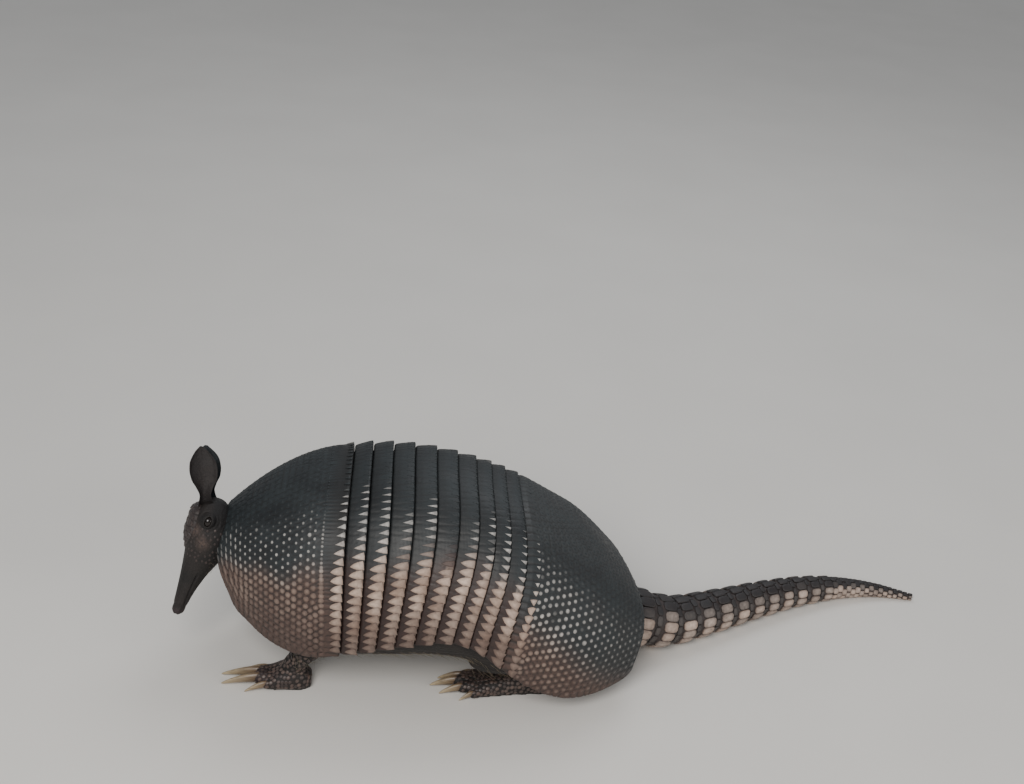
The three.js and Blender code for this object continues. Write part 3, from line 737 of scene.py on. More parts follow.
def make_shield(name, node_name, from_s, to_s, lift_at, pitch, from_the_rear, body_rows, seed,
                look, margin, crest_sheen):
    """look gives the tone, the share of tan and the width of the bosses at each place."""
    s, side = scute_rows(from_s, to_s, pitch, from_the_rear, margin)
    clear = np.abs(side) <= reach_at(s) - CORNER_SPACE * (1 + smooth(22, 8, s))
    s, side = s[clear], side[clear]
    keep = thin_out(shell_point(s, side), 0.66 * pitch)
    low, high = (ROW_GAP, margin - 1) if from_the_rear else (margin - 0.4, ROW_GAP)
    s, side = push_apart(s[keep], side[keep], from_s + low, to_s - high, pitch, ROUNDS)
    part = (s - from_s) / (to_s - from_s)
    place, normal, tailward = shell_frame(s, side, lift_at(part))
    body = plate_body(
        node_name + "_plate", from_s, to_s, lift_at, body_rows, int(430 * FINE),
        lambda a, b: look(a, b)[1],
        # the last term paints a light sheen on the bare plate near the crest
        lambda a, b: 0.05 * look(a, b)[1] + crest_sheen * (1 - smooth(0.2, 0.45, np.abs(a))),
        lambda p: groove_depth(p, place, 0.9),
    )
    luck, chance = scatter(seed, len(s)), scatter(seed + 50, len(s))
    tone, tan, wide = look(side, s)
    tone = tone * (0.6 + 0.4 * luck)
    tone = np.where((chance < 0.07) & (tan < 0.6), tone * 0.3, tone)
    wide = pitch * wide * (0.88 + 0.22 * luck)
    wide = np.where((chance > 0.985) & (tan < 0.5), wide * 1.3, wide)
    squeeze = smooth(20, 6, s)
    size = np.column_stack([wide * (1 - 0.35 * squeeze), wide * (1.06 - 0.1 * tan + 1.3 * squeeze),
                            0.16 + 0.16 * np.maximum(tone, tan) + 0.06 * luck])
    start, end = from_s + RUMP_ROW[0], from_s + RUMP_ROW[1]
    if from_the_rear:
        start, end = to_s - SHOULDER_ROW, to_s
    row = edge_row(0 if from_the_rear else BANDS, start, end,
                   lambda part: lift_at((start + part * (end - start) - from_s) / (to_s - from_s)))
    body = lay_edge(node_name + "_edge", body, *row)
    made = lay(name, place, normal, tailward, size, BOSS, SHELL_HORN, body, 0.08, seed,
               tone=tone, tan=tan, groove=np.zeros(len(s)))
    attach(made, "root")
    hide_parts(node_name)


FINE = 0.8


def scapular_lift(part):
    return np.interp(part, [0, 0.06, 0.94, 1], [-2.0, 0.0, 0.0, 0.6])


def pelvic_lift(part):
    return np.interp(part, [0, 0.05, 0.95, 1], [-1.8, 0.0, 0.0, -1.2])


def shoulder_look(side, s):
    pale, tan = pale_at(side, s), tan_at(side, s)
    # painted shade: low darkens the bosses towards the lower rim, near the floor
    low = smooth(0.7, 1.0, np.abs(side))
    tone = pale * smooth(-4, 12, s) * (0.86 - 0.48 * tan) * (1 - 0.72 * low)
    return tone, tan, 0.168 + 0.04 * pale + 0.2 * tan


def rump_look(side, s):
    behind = smooth(band_edge(BANDS) + 22, SHELL, s + 30 * (0.7 - np.abs(side)))
    tan = smooth(0.62, 0.85, np.abs(side) - 0.22 * behind)
    pale = smooth(0.3, 0.52, np.abs(side) - 0.14 * behind)
    # painted shade: low darkens the bosses towards the lower rim, near the floor
    low = smooth(0.66, 1.0, np.abs(side))
    tone = pale * (0.94 - 0.64 * behind) * (1 - 0.64 * low) * (1 - 0.25 * tan)
    return tone, tan, 0.19 + 0.1 * pale * (1 - behind) + 0.05 * tan + 0.03 * behind


make_shield("shoulder_shield", "shell_scapular", 0.0, band_edge(0) - GAP / 2, scapular_lift,
            5.9, True, int(110 * FINE), 11, shoulder_look, 10.6, 0.0)
make_shield("rump_shield", "shell_pelvic", band_edge(BANDS) + GAP / 2, SHELL, pelvic_lift,
            6.0, False, int(150 * FINE), 12, rump_look, 12.8, 0.03)

# %% [markdown]
# Nine bands slide over each other like the plates of a lobster. Each slips under the one before
# it, and its free rear edge stands proud. On every band a row of pale scutes points to the head,
# with dark horn between and in front of them, painted darker still as shade in the grooves and under
# the edge of the band before. Some are worn grey.

# %% The nine bands


def make_band(number):
    from_s, to_s = band_edge(number - 1) + GAP / 2, band_edge(number) - GAP / 2
    width = to_s - from_s
    shape, spots, values = edge_row(number, from_s, to_s, band_lift)

    def strip(side, s):
        met = smooth(0.54, 0.66, np.abs(side)) * (1 - 0.6 * smooth(0.74, 1.0, np.abs(side)))
        pale = 0.5 * met * smooth(from_s + 0.56 * width, from_s + 0.66 * width, s)
        patches = 0.5 + 0.5 * np.sin(150 * side + 2.2 * s) * np.sin(95 * side - 1.7 * s + number)
        return np.maximum(pale, 0.07 * worn_at(number, side) * patches)

    body = plate_body(
        f"band_{number}_plate", from_s, to_s, band_lift, max(int(26 * FINE), 10), int(400 * FINE),
        tan_at, strip, lambda p: groove_depth(p, spots[0], 0.8) * 0.7,
        # painted shade: the band's front, under the edge of the band before, is darkened
        lambda s: 0.5 * smooth(from_s + 0.62 * width, from_s + 0.2 * width, s),
    )
    made = lay_edge(f"band_{number}_armour", body, shape, spots, values)
    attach(made, "root")
    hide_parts(f"band_{number}")


for number in range(1, BANDS + 1):
    make_band(number)

# %% [markdown]
# The tail is a row of stiff rings that fit into each other, then a tip covered in small scales. Its
# middle line follows a smooth curve: down from the rump to the floor, then along it. Every ring
# carries a short row and a long row of tiles, dark on top and pale at the sides.

# %% The tail's middle line
TAIL_PLAN = [[112, 3], [146, 7], [172, 13], [206, 27.5], [243, 46.5], [278, 65], [318, 83],
             [354, 94], [390, 98], [424, 94]]
TAIL_ROOT_HEIGHT, TAIL_LANDS_AT, TAIL_RINGS = 37.0, 0.27, 12
tail_radius_at = ramp([0, 0.12, 0.25, 0.4, 0.7, 1], [26, 24.5, 20, 17, 11.5, 2.4])


def smooth_route(points):
    p = np.vstack([2 * points[0] - points[1], points, 2 * points[-1] - points[-2]])
    t, made = np.arange(60)[:, None] / 60, []
    for i in range(1, len(p) - 2):
        d0, d1, d2 = (np.linalg.norm(p[i + k] - p[i + k - 1]) ** 0.5 for k in range(3))
        a = (p[i] - p[i - 1]) / d0 - (p[i + 1] - p[i - 1]) / (d0 + d1) + (p[i + 1] - p[i]) / d1
        b = (p[i + 1] - p[i]) / d1 - (p[i + 2] - p[i]) / (d1 + d2) + (p[i + 2] - p[i + 1]) / d2
        a, b = a * d1, b * d1
        made.append(p[i] + a * t + (3 * (p[i + 1] - p[i]) - 2 * a - b) * t**2
                    + (2 * (p[i] - p[i + 1]) + a + b) * t**3)
    return np.vstack(made + [points[-1:]])


TAIL_ROUTE = smooth_route(np.array(TAIL_PLAN, float))
TAIL_RUN = np.r_[0, np.cumsum(np.linalg.norm(np.diff(TAIL_ROUTE, axis=0), axis=1))]
TAIL_LENGTH = TAIL_RUN[-1]


def tail_centre(part):
    x, y = (np.interp(part * TAIL_LENGTH, TAIL_RUN, TAIL_ROUTE[:, k]) for k in (0, 1))
    lying = tail_radius_at(part) * 0.96
    fall = 1 - smooth(0, TAIL_LANDS_AT, part)
    return np.stack([x, y, lying + (TAIL_ROOT_HEIGHT - lying) * fall], -1)


def tail_point(part, angle, scale):
    """Place, outward normal and the direction to the tip."""
    part, angle, scale = np.broadcast_arrays(np.asarray(part, float), angle, scale)
    ahead = unit(tail_centre(np.minimum(part + 0.01, 1)) - tail_centre(np.maximum(part - 0.01, 0)))
    across = unit(np.stack([ahead[..., 1], -ahead[..., 0], 0 * part], -1))
    out = across * np.sin(angle)[..., None] + np.cross(across, ahead) * np.cos(angle)[..., None]
    radius = tail_radius_at(part) * scale
    return tail_centre(part) + out * radius[..., None], unit(out), ahead


def tail_edge(number):
    part = number / TAIL_RINGS
    return 0.1 + 0.66 * part * (1.22 - 0.22 * part)


# %% [markdown]
# A ring's tiles: the rear row is long and blocky and lifts at its free end, and the front row is
# short and sits in the ring's waist. The ring under them is dark, so the joints read as dark lines.

# %% The tail's rings and tip
AROUND = 60


def tile_row(part, count, half_long, turn, seed, height, fill, scale):
    angle = 2 * np.pi * (np.arange(count) + turn) / count
    place, out, ahead = tail_point(np.full(count, part), angle, scale)
    luck = scatter(seed, count)
    half_wide = 2 * np.pi * tail_radius_at(part) / count * fill * (0.93 + 0.1 * luck)
    size = np.column_stack([half_long * (0.9 + 0.15 * luck), half_wide, np.full(count, height)])
    around = np.abs((angle + np.pi) % (2 * np.pi) - np.pi)
    pale = smooth(np.radians(32), np.radians(74), around + 0.3 * (luck - 0.5))
    return place, out, ahead, size, pale * (0.62 + 0.38 * scatter(seed + 7, count))


def tail_piece(name, node_name, edges, rows, stations, seed):
    part = edges[0] + stations[:, 0] * (edges[1] - edges[0])
    angle = np.linspace(0, 2 * np.pi, AROUND + 1)[:-1]
    body, _, _ = tail_point(part[:, None], angle[None, :], stations[:, 1][:, None])
    count = len(part) * AROUND + 2
    base = loft(name + "_core", body, {"tone": np.full(count, 0.05), "tan": np.full(count, 0.6),
                                       "groove": np.full(count, 0.3)})
    place, out, ahead, size, tone = (np.concatenate(column) for column in zip(*rows))
    made = lay(name, place, out, ahead, size, TILE, TAIL_HORN, base, 0.06, seed, tone=tone,
               tan=0.3 + 0.6 * tone, groove=np.zeros(len(tone)))
    for vertex in made.data.vertices:
        vertex.co.z = max(vertex.co.z, 0.0)
    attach(made, "root")
    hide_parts(node_name)


def make_tail_ring(number):
    gap = GAP / TAIL_LENGTH / 2
    start, end = tail_edge(number - 1) + gap, tail_edge(number) - gap
    width = end - start
    long = width * TAIL_LENGTH
    count = int(np.interp(number, [1, TAIL_RINGS], [16, 11]))
    front = tile_row(start + 0.17 * width, count, long * 0.13, 0.5, number, 0.6, 0.44, 0.89)
    rear = tile_row(start + 0.65 * width, count, long * 0.325, 0, 40 + number, 1.2, 0.493, 0.965)
    front = front[:4] + (front[4] * 0.1,)
    tail_piece(f"tail_armour_{number}", f"tail_ring_{number}", (start, end), [front, rear],
               RING_STATIONS, number)


# Each station is a share of the ring's length and the core's width there.
RING_STATIONS = np.array([[0, 0.85], [0.02, 0.87], [0.25, 0.885], [0.36, 0.94], [0.9, 0.97],
                          [0.98, 0.955], [1, 0.92]])
for number in range(1, TAIL_RINGS + 1):
    make_tail_ring(number)
tip_from = 0.76 + GAP / TAIL_LENGTH / 2
tip_rows = [
    tile_row(tip_from + (1 - tip_from) * (k + 0.5) / 17, int(np.interp(k, [0, 16], [10, 6])),
             2.9 - 0.06 * k, 0.5 * (k % 2), 90 + k, 0.75, 0.46, 0.95)
    for k in range(17)
]
tip_stations = np.column_stack([np.linspace(0, 1, 30), np.r_[0.9, np.full(27, 0.93), 0.8, 0.4]])
tail_piece("tail_tip_armour", "tail_tip", (tip_from, 1.0), tip_rows, tip_stations, 99)

# %% [markdown]
# The head is built along its own axis, from the poll to the nose, which hangs down and is swung
# out to the left. Widths and heights along it are the same ramps as the solid skull's.

# %% The head's shape
HEAD_KNOTS = [5, 8, 12, 18, 30, 48, 66, 84, 97]
head_top_at = ramp(HEAD_KNOTS, [2.5, 7.5, 13, 16.6, 16.6, 13.6, 11, 9.2, 8.2])
head_bottom_at = ramp(HEAD_KNOTS, [-4, -8, -12.5, -17, -22, -17, -9.5, -4.5, -2.5])
head_side_at = ramp(HEAD_KNOTS, [6, 12, 17.5, 21.5, 22, 17, 12, 8.7, 7.5])
HANDS = (("left", 1), ("right", -1))
HEAD_AT = np.array([-172.0, 5.0, 131.5])
HEAD_ROLL = np.array(Matrix.Rotation(math.radians(-20), 3, "X"))
HEAD_TURN = HEAD_ROLL @ np.array(Matrix.Rotation(math.radians(-74), 3, "Y"))
HEAD_AXES = HEAD_TURN @ np.array([[-1, 0, 0], [0, 0, 1], [0, -1, 0]]).T
EYE_AT, EYE_RADIUS = (19.0, 1.5, 18.2), 5.2


def on_head(along, up, out):
    local = np.stack(np.broadcast_arrays(np.asarray(along, float), up, out), -1)
    return HEAD_AT + local @ HEAD_AXES.T


def to_head(points):
    return (points - HEAD_AT) @ HEAD_AXES


def head_point(along, angle, lift):
    along, angle = np.broadcast_arrays(np.asarray(along, float), angle)
    top, bottom = head_top_at(along), head_bottom_at(along)
    up = (top + bottom) / 2 + ((top - bottom) / 2 + lift) * power(np.cos(angle), 0.9)
    return on_head(along, up, (head_side_at(along) + lift) * power(np.sin(angle), 0.9))


def ear_root(hand):
    """Where an ear grows from the head, and the way it rises."""
    rise = unit(HEAD_ROLL @ np.array([-0.045 - 0.01 * hand, -0.48 + 0.06 * hand, 1]))
    return on_head(9.5, 7.5, hand * 12), rise


# %% [markdown]
# One hide covers all the flesh: trunk, neck, head, legs and feet. Each part is a closed loft that
# lies just inside its solid. They are joined, and a voxel remesh melts them into one surface with
# no seams. The neighbours of each point are then averaged, most where a leg meets the belly.

# %% The lofts under the hide
INSET = 0.8
UP, RIGHT = np.array([0.0, 0.0, 1.0]), np.array([0.0, 1.0, 0.0])
NECK_BASE, TAIL_BASE = np.array([-138, 0, 80]), np.array([138, 8, 32])


def through(stations, steps):
    columns = np.array(stations, float)
    place = np.linspace(0, len(columns) - 1, steps)
    return np.column_stack([ramp(range(len(columns)), c)(place) for c in columns.T])


def ovals(centres, across, up, wide, tall, count=36, p=1.0):
    """A ring of count points round each centre."""
    angle = 2 * np.pi * (np.arange(count) + 0.5) / count
    across, up = (np.broadcast_to(v, centres.shape)[:, None] for v in (across, up))
    return (centres[:, None] + across * wide[:, None, None] * power(np.sin(angle), p)[:, None]
            + up * tall[:, None, None] * power(np.cos(angle), p)[:, None])


def on_floor(rings):
    rings[..., 2] = np.maximum(rings[..., 2], 0)
    return rings


belly_at = ramp([0, 0.15, 0.45, 0.8, 1], [46, 28, 18, 22, 26])


def trunk_ring(s, inset):
    sides = np.linspace(-0.97, 0.97, 60)
    back = shell_point(s, sides, -inset)
    middle = (back[0] + back[-1]) / 2
    bottom = np.array([back_at(np.array(s))[0], middle[1], belly_at(s / SHELL) + INSET])
    angle = np.pi * np.arange(1, 30) / 30
    belly = (middle + (back[-1] - middle) * power(np.cos(angle), 1.5)[:, None]
             + (bottom - middle) * (np.sin(angle) ** 0.9)[:, None])
    return np.vstack([back, belly])


def trunk_loft():
    rings = [trunk_ring(s, PLATE + 1.2) for s in np.linspace(20, 254, 60)]
    chest, rump = rings[0], rings[-1]
    for share, push in ((0.06, 0.6), (0.14, 1), (0.27, 1.55), (0.42, 2), (0.75, 2.5)):
        rings.insert(0, chest + (NECK_BASE - chest) * share + np.array([-4, 0, 0]) * push)
        rings.append(rump + (TAIL_BASE - rump) * share * 1.1 + np.array([7.2, 1, 0]) * push)
    return rings


def limb_loft(stations, hand):
    """Stations of [x, y, z, half width, half depth, tilt in degrees]."""
    x, y, z, wide, deep, tilt = through(stations, 34).T
    tilt = np.radians(tilt)
    along = np.column_stack([np.cos(tilt), 0 * tilt, np.sin(tilt)])
    return ovals(np.column_stack([x, -hand * y, z]), along, RIGHT, deep - INSET, wide - INSET)


FORELEG = [[-92, 42, 72, 20, 24, 0], [-92, 48, 56, 18, 22, 8], [-94, 52, 41, 15.5, 18, 14],
           [-101, 53, 29, 13.5, 14.5, 16], [-108, 52, 20.5, 12, 12, 12],
           [-112, 52, 12, 10.5, 10, 8]]
HINDLEG = [[58, 48, 66, 24, 32, 6], [54, 58, 52, 22, 32, 14], [50, 62, 40, 19, 30, 12],
           [58, 58, 29, 14, 23, -4], [72, 52, 21.5, 11.5, 14, -14], [78, 50, 13, 10, 12, -14]]
# Each paw: [x, shift out, half width, height] from heel to the roots of the toes.
FOREPAW = [[-97, 0, 7, 10], [-103, 0, 11, 16], [-114, 0, 12.6, 18], [-124, 0, 13, 13.5],
           [-131, 0, 11.5, 9]]
HINDPAW = [[92, 0, 5, 11], [87, 0, 8.7, 18], [74, 0, 10.2, 20], [58, 1, 11.2, 17],
           [42, 2, 13.4, 14], [32, 3, 13.6, 11.5], [26, 3, 12.6, 9]]
# Each claw: [x, y out from the paw's middle, length, radius, outward turn in degrees].
FORE_CLAWS = [[-133, -10, 15, 2.6, -14], [-139, -3.6, 27, 3.6, -4], [-139, 4, 26, 3.6, 4],
              [-132, 10.6, 15, 2.6, 14]]
HIND_CLAWS = [[25, -10.5, 10, 2.2, -16], [16, -4.8, 16, 3, -6], [13, 2.4, 19, 3.4, 0],
              [17, 9.6, 16, 3, 8], [26, 16.2, 10, 2.2, 18]]
# The middle of a fore and of a hind paw lies this far from the body's middle plane.
FORE_OUT, HIND_OUT = 53, 49


def paw_loft(stations, middle_y, hand):
    x, shift, half_width, height = through(stations, 30).T
    centres = np.column_stack([x, -hand * (middle_y + shift), height * 0.42])
    return on_floor(ovals(centres, RIGHT, UP, half_width, height * 0.58, p=0.85))


def toe_ways(turn, hand):
    """The ways a toe points and lies across."""
    turn = math.radians(turn)
    ahead = np.array([-math.cos(turn), -hand * math.sin(turn), 0])
    return ahead, np.cross(ahead, UP)


def toe_loft(claw, middle_y, hand):
    x, y, _, radius, turn = claw
    ahead, across = toe_ways(turn, hand)
    root = np.array([x, -hand * (middle_y + y), radius * 1.3 + 1.3])
    reach = np.linspace(-17, 1.6, 22)
    tip = np.sqrt(np.clip(1 - (np.maximum(reach, -2) + 2) ** 2 / 17, 0.05, 1))
    fat = (radius + 0.95) * (1 + 0.16 * bell(reach + 6, 3.2)) * tip
    centres = root + ahead * reach[:, None] + UP * (0.1 * -reach)[:, None]
    return on_floor(ovals(centres, across, UP, fat * 0.92, fat * 1.05, 24))


NECK = [[-122, 0, 76, 28, 30, 28], [-138, -1, 86, 26, 28, 34], [-149, -2, 95, 23, 25, 40],
        [-158, -3, 105, 19, 20, 46], [-165, -3, 114, 15, 14, 52]]


def neck_loft():
    x, y, z, wide, tall, lean = through(NECK, 40).T
    lean = np.radians(lean)
    up = np.column_stack([np.sin(lean), 0 * lean, np.cos(lean)])
    return ovals(np.column_stack([x, y, z]), -RIGHT, up, wide - INSET, tall - INSET)


def head_loft():
    along = np.r_[5.4, np.linspace(6, 94, 90), 96, 98, 99.4, 100.2]
    shrink = np.r_[0.7, np.ones(90), 0.98, 0.9, 0.72, 0.4]
    angle = 2 * np.pi * np.arange(56) / 56
    rings = head_point(along[:, None], angle[None, :], -0.6)
    middle = rings.mean(1, keepdims=True)
    return middle + (rings - middle) * shrink[:, None, None]


parts = [trunk_loft(), neck_loft(), head_loft()]
for _, hand in HANDS:
    parts += [limb_loft(FORELEG, hand), limb_loft(HINDLEG, hand)]
    parts += [paw_loft(FOREPAW, FORE_OUT, hand), paw_loft(HINDPAW, HIND_OUT, hand)]
    parts += [toe_loft(claw, FORE_OUT, hand) for claw in FORE_CLAWS]
    parts += [toe_loft(claw, HIND_OUT, hand) for claw in HIND_CLAWS]
lofts = [loft(f"flesh_{i}", rings) for i, rings in enumerate(parts)]

# %% [markdown]
# The remesh works on the joined lofts. A cube of 1.45 mm keeps toes apart; the head then gets a
# second, finer subdivision, because lids, nostrils and the mouth's line are smaller than that.

# %% One surface for all the flesh
VOXEL_MM = 1.45


def join(objects, name):
    with bpy.context.temp_override(active_object=objects[0], selected_editable_objects=objects):
        bpy.ops.object.join()
    objects[0].name = name
    return objects[0]


def set_points(obj, points):
    obj.data.vertices.foreach_set("co", ((points + BODY_AT) * MM).ravel())
    obj.data.update()


def relax(obj, weight, rounds):
    """Moves each point towards its neighbours' middle."""
    points, edges = points_of(obj), read_all(obj.data.edges, "vertices", 2, int)
    links = np.bincount(edges.ravel(), minlength=len(points))[:, None]
    for _ in range(rounds):
        total = np.zeros_like(points)
        np.add.at(total, edges[:, 0], points[edges[:, 1]])
        np.add.at(total, edges[:, 1], points[edges[:, 0]])
        points = points + (total / links - points) * weight[:, None]
    set_points(obj, points)


hide = join(lofts, "flesh")
melt = hide.modifiers.new("melt", "REMESH")
melt.mode, melt.voxel_size = "VOXEL", VOXEL_MM * MM
hide = to_plain_mesh(hide, "hide")

# The back is out of sight under the shell, so its faces are thinned out; the rest is kept.
under_s, under_side = np.meshgrid(np.linspace(26, 246, 60), np.linspace(-0.84, 0.84, 60))
cover = kd_tree(shell_point(under_s, under_side, -PLATE - 1.2).reshape(-1, 3))
points = points_of(hide)
covered = [i for i, p in enumerate(points) if p[2] > 40 and cover.find(p)[2] < 3.5]
group = hide.vertex_groups.new(name="covered")
group.add(covered, 1.0, "REPLACE")
thin = hide.modifiers.new("thin", "DECIMATE")
thin.vertex_group, thin.ratio = "covered", 1 - 0.93 * len(covered) / len(points)
thin.use_collapse_triangulate = False
hide = to_plain_mesh(hide, "hide")

# %% [markdown]
# Averaging each point with its neighbours turns the joints between lofts into flesh. The head is
# kept nearly as it is. Then the head, and once more the eyes and the nose, get finer faces.

# %% Smooth joints and a finer head


def refine(obj, inside):
    bm = bmesh.new()
    bm.from_mesh(obj.data)
    chosen = [e for e in bm.edges if inside[e.verts[0].index] and inside[e.verts[1].index]]
    bmesh.ops.subdivide_edges(bm, edges=chosen, cuts=1, use_grid_fill=True)
    bm.to_mesh(obj.data)
    bm.free()


def skull_share(points):
    return smooth(-2, 8, to_head(points)[:, 0]) * (points[:, 0] < -120)


points = points_of(hide)
relax(hide, 0.12 + 0.48 * smooth(22, 45, points[:, 2]) * (1 - skull_share(points)), 12)
for finest in (False, True):
    along, up, out = to_head(points_of(hide)).T
    out = np.abs(out)
    under_cap = (along > 13) & (along < 42) & (up > 0.9 * out + 3)
    fine_spot = (along > -3) & (out < 28) & (np.abs(up) < 30) & ~under_cap
    if finest:
        near_eye = (np.hypot(along - EYE_AT[0], up - EYE_AT[1]) < 8.5) & (out > 12)
        fine_spot &= near_eye | (along > 90)
    refine(hide, fine_spot)
relax(hide, 0.4 * skull_share(points_of(hide)), 3)

# %% [markdown]
# Folds and features are pushed into the surface point by point. The lids lie close on the eyeball
# round an almond opening, with a brow over it and two soft folds under it. The nose has comma
# nostrils, and the mouth is a fine line along the snout. The neck folds like a collar.

# %% Features of the hide


def rough_noise(points, size, seed=0.0):
    shifted = points / size + seed
    return np.array([noise.noise(p) for p in shifted])


def shape_eye(local, hand):
    along, up, out = local.T
    x, y, side = along - EYE_AT[0], up - EYE_AT[1], out * hand
    r = np.hypot(x, y)
    near = (side > 9) & (r < 16)
    lid = EYE_AT[2] + np.sqrt(np.maximum((EYE_RADIUS + 1.1) ** 2 - r**2, 0))
    side = np.where(near, side + np.maximum(lid - side, 0) * (1 - smooth(4, 9, r)), side)
    folds = 0.9 * bell(y - 5.6, 1.8) * bell(x + 0.5, 6)
    folds = folds - 0.38 * bell(r - 8.3, 1.0) * smooth(2.5, -1, y)
    folds = folds - 0.22 * bell(r - 11.2, 1.1) * smooth(1, -3, y)
    opening = (x / 4.9) ** 2 + ((y + 0.1 - 0.04 * x) / 3.5) ** 2
    side = np.where(near, side + folds, side)
    sunk = (1 - smooth(0.75, 1.15, opening)) * near
    side = side + (EYE_AT[2] + 1.0 - side) * sunk
    return np.column_stack([along, up, side * hand]), sunk


def shape_snout(local):
    along, up, out = local.T
    front = smooth(95.5, 98.5, along)
    top, bottom = head_top_at(along), head_bottom_at(along)
    middle = (top + bottom) / 2
    flare = 1 + 0.05 * bell(along - 97.5, 2.2) - 0.07 * bell(along - 92.5, 1.8)
    up, out = middle + (up - middle) * flare, out * flare
    comma = np.hypot((up - 3.3) / 1.25, (np.abs(out) - 3.4 - 0.25 * (up - 3.3)) / 1.75)
    holes = (1 - smooth(0.55, 1.1, comma)) * front
    rim = bell(comma - 1.35, 0.3) * front
    slit = bell(out, 0.5) * smooth(2, -3, up) * front
    along = along - 3.4 * holes + 0.35 * rim - 0.7 * slit
    line = bottom + (top - bottom) * (0.2 + 0.12 * smooth(96, 62, along))
    mouth = bell(up - line, 0.55) * smooth(60, 67, along) * smooth(4, 6, np.abs(out) + front * 4)
    shrink = 1 - 0.13 * mouth
    return np.column_stack([along, middle + (up - middle) * shrink, out * shrink]), holes, mouth


hide.data.update()
points, normals = points_of(hide), normals_of(hide)
local = to_head(points)
skull = smooth(0, 8, local[:, 0]) * (points[:, 0] < -130)
is_head = skull > 0
dark = np.zeros(len(points))
for _, hand in HANDS:
    shaped, sunk = shape_eye(local, hand)
    local = np.where(is_head[:, None], shaped, local)
    along, up, out = local.T
    r = np.hypot(along - EYE_AT[0] - 1, up - EYE_AT[1])
    streak = bell(up - 2.4 + 0.4 * (along - EYE_AT[0]), 2.2)
    streak = streak * smooth(20, 24, along) * smooth(37, 30, along)
    round_eye = np.maximum(0.85 * (1 - smooth(4.5, 8.0, r)), 0.95 * streak) * (out * hand > 5)
    dark = np.maximum(dark, np.maximum(sunk, round_eye) * is_head)
shaped, holes, mouth = shape_snout(local)
local = np.where(is_head[:, None], shaped, local)
along, up, out = local.T
# painted shade: the poll, under the shell's front edge, and the jaw, on the neck's shaded side, are
# darkened
poll = 0.6 * smooth(14, 6, along)
jaw_shade = 0.9 * smooth(0.5, -4.5, up + 1 + 0.3 * (along - 25)) * smooth(66, 46, along)
# painted shade: the nostrils and the mouth's groove are darkened too
dark = np.maximum(dark, np.maximum.reduce([holes, 0.8 * mouth, poll, jaw_shade]) * is_head)
leather = smooth(93.5, 96, along) * is_head
patches = [bell(along - spot, wide * 1.2) * bell(up - height, wide)
           for spot, height, wide in ((29, 8.5, 3.6), (36, 0.5, 4.4))]
pale = np.maximum(*patches) * is_head * (np.abs(out) > 6)
moved = HEAD_AT + local @ HEAD_AXES.T
wobble = rough_noise(points, 14.0)
neck_way = np.array([-43.0, -3.0, 38.0]) / 57.5
along_neck = (points - NECK[0][:3]) @ neck_way
on_neck = smooth(-8, 8, along_neck) * (1 - smooth(46, 60, along_neck)) * (1 - skull)
on_neck = on_neck * (points[:, 0] < -112)
folds = np.sin(along_neck * 2 * np.pi / 8.0 + 3.0 * wobble)
depth = 0.8 * on_neck * folds
on_legs = smooth(60, 50, points[:, 2]) * smooth(16, 24, points[:, 2]) * (np.abs(points[:, 1]) > 34)
depth += 0.35 * on_legs * np.sin(points[:, 2] * 2 * np.pi / 4.6 + 4.0 * wobble)
depth += 0.25 * rough_noise(points, 5.0, 7.0) * (1 - 0.7 * skull)
moved = np.where(skull[:, None] > 0.99, moved, moved + normals * depth[:, None])
for _, hand in HANDS:
    base, rise = ear_root(hand)
    from_ear = np.linalg.norm(points - base - rise * 1.5, axis=1)
    moved += rise * (2.8 * bell(from_ear, 6.2) * smooth(0, 0.1, skull))[:, None]
behind = smooth(112, 122, points[:, 0]) * (1 - smooth(60, 75, points[:, 2]))
from_tail = np.linalg.norm(points - TAIL_BASE, axis=1)
ring_folds = np.sin(from_tail * 2 * np.pi / 6.5 + 2.5 * wobble) * smooth(62, 40, from_tail)
moved += normals * (0.7 * behind * ring_folds)[:, None]
moved[:, 2] = np.where(moved[:, 2] < 0.9, 0.0, moved[:, 2])
set_points(hide, moved)
# painted shade in the valleys of the neck's folds and of the folds round the tail's root
dark = np.maximum(dark, 0.5 * on_neck * smooth(0.2, -0.8, folds))
dark = np.maximum(dark, 0.35 * behind * smooth(0.2, -0.8, ring_folds))
belly = smooth(34, 22, points[:, 2]) * (np.abs(points[:, 1]) < 50) * (np.abs(points[:, 0]) < 130)
for key, values in (("dark", dark), ("pale", np.maximum(pale, 0.6 * belly)), ("leather", leather)):
    set_attribute(hide.data, key, values)
hide.data.shade_smooth()
print("hide", count_triangles(hide), "triangles")

# %% [markdown]
# Armadillo hide is thick, loose leather: grey-brown, matt, pebbled with grains about a millimetre
# wide and crossed by fine creases. Grains and creases are too fine for the mesh, so they are bump.

# %% The hide's finish


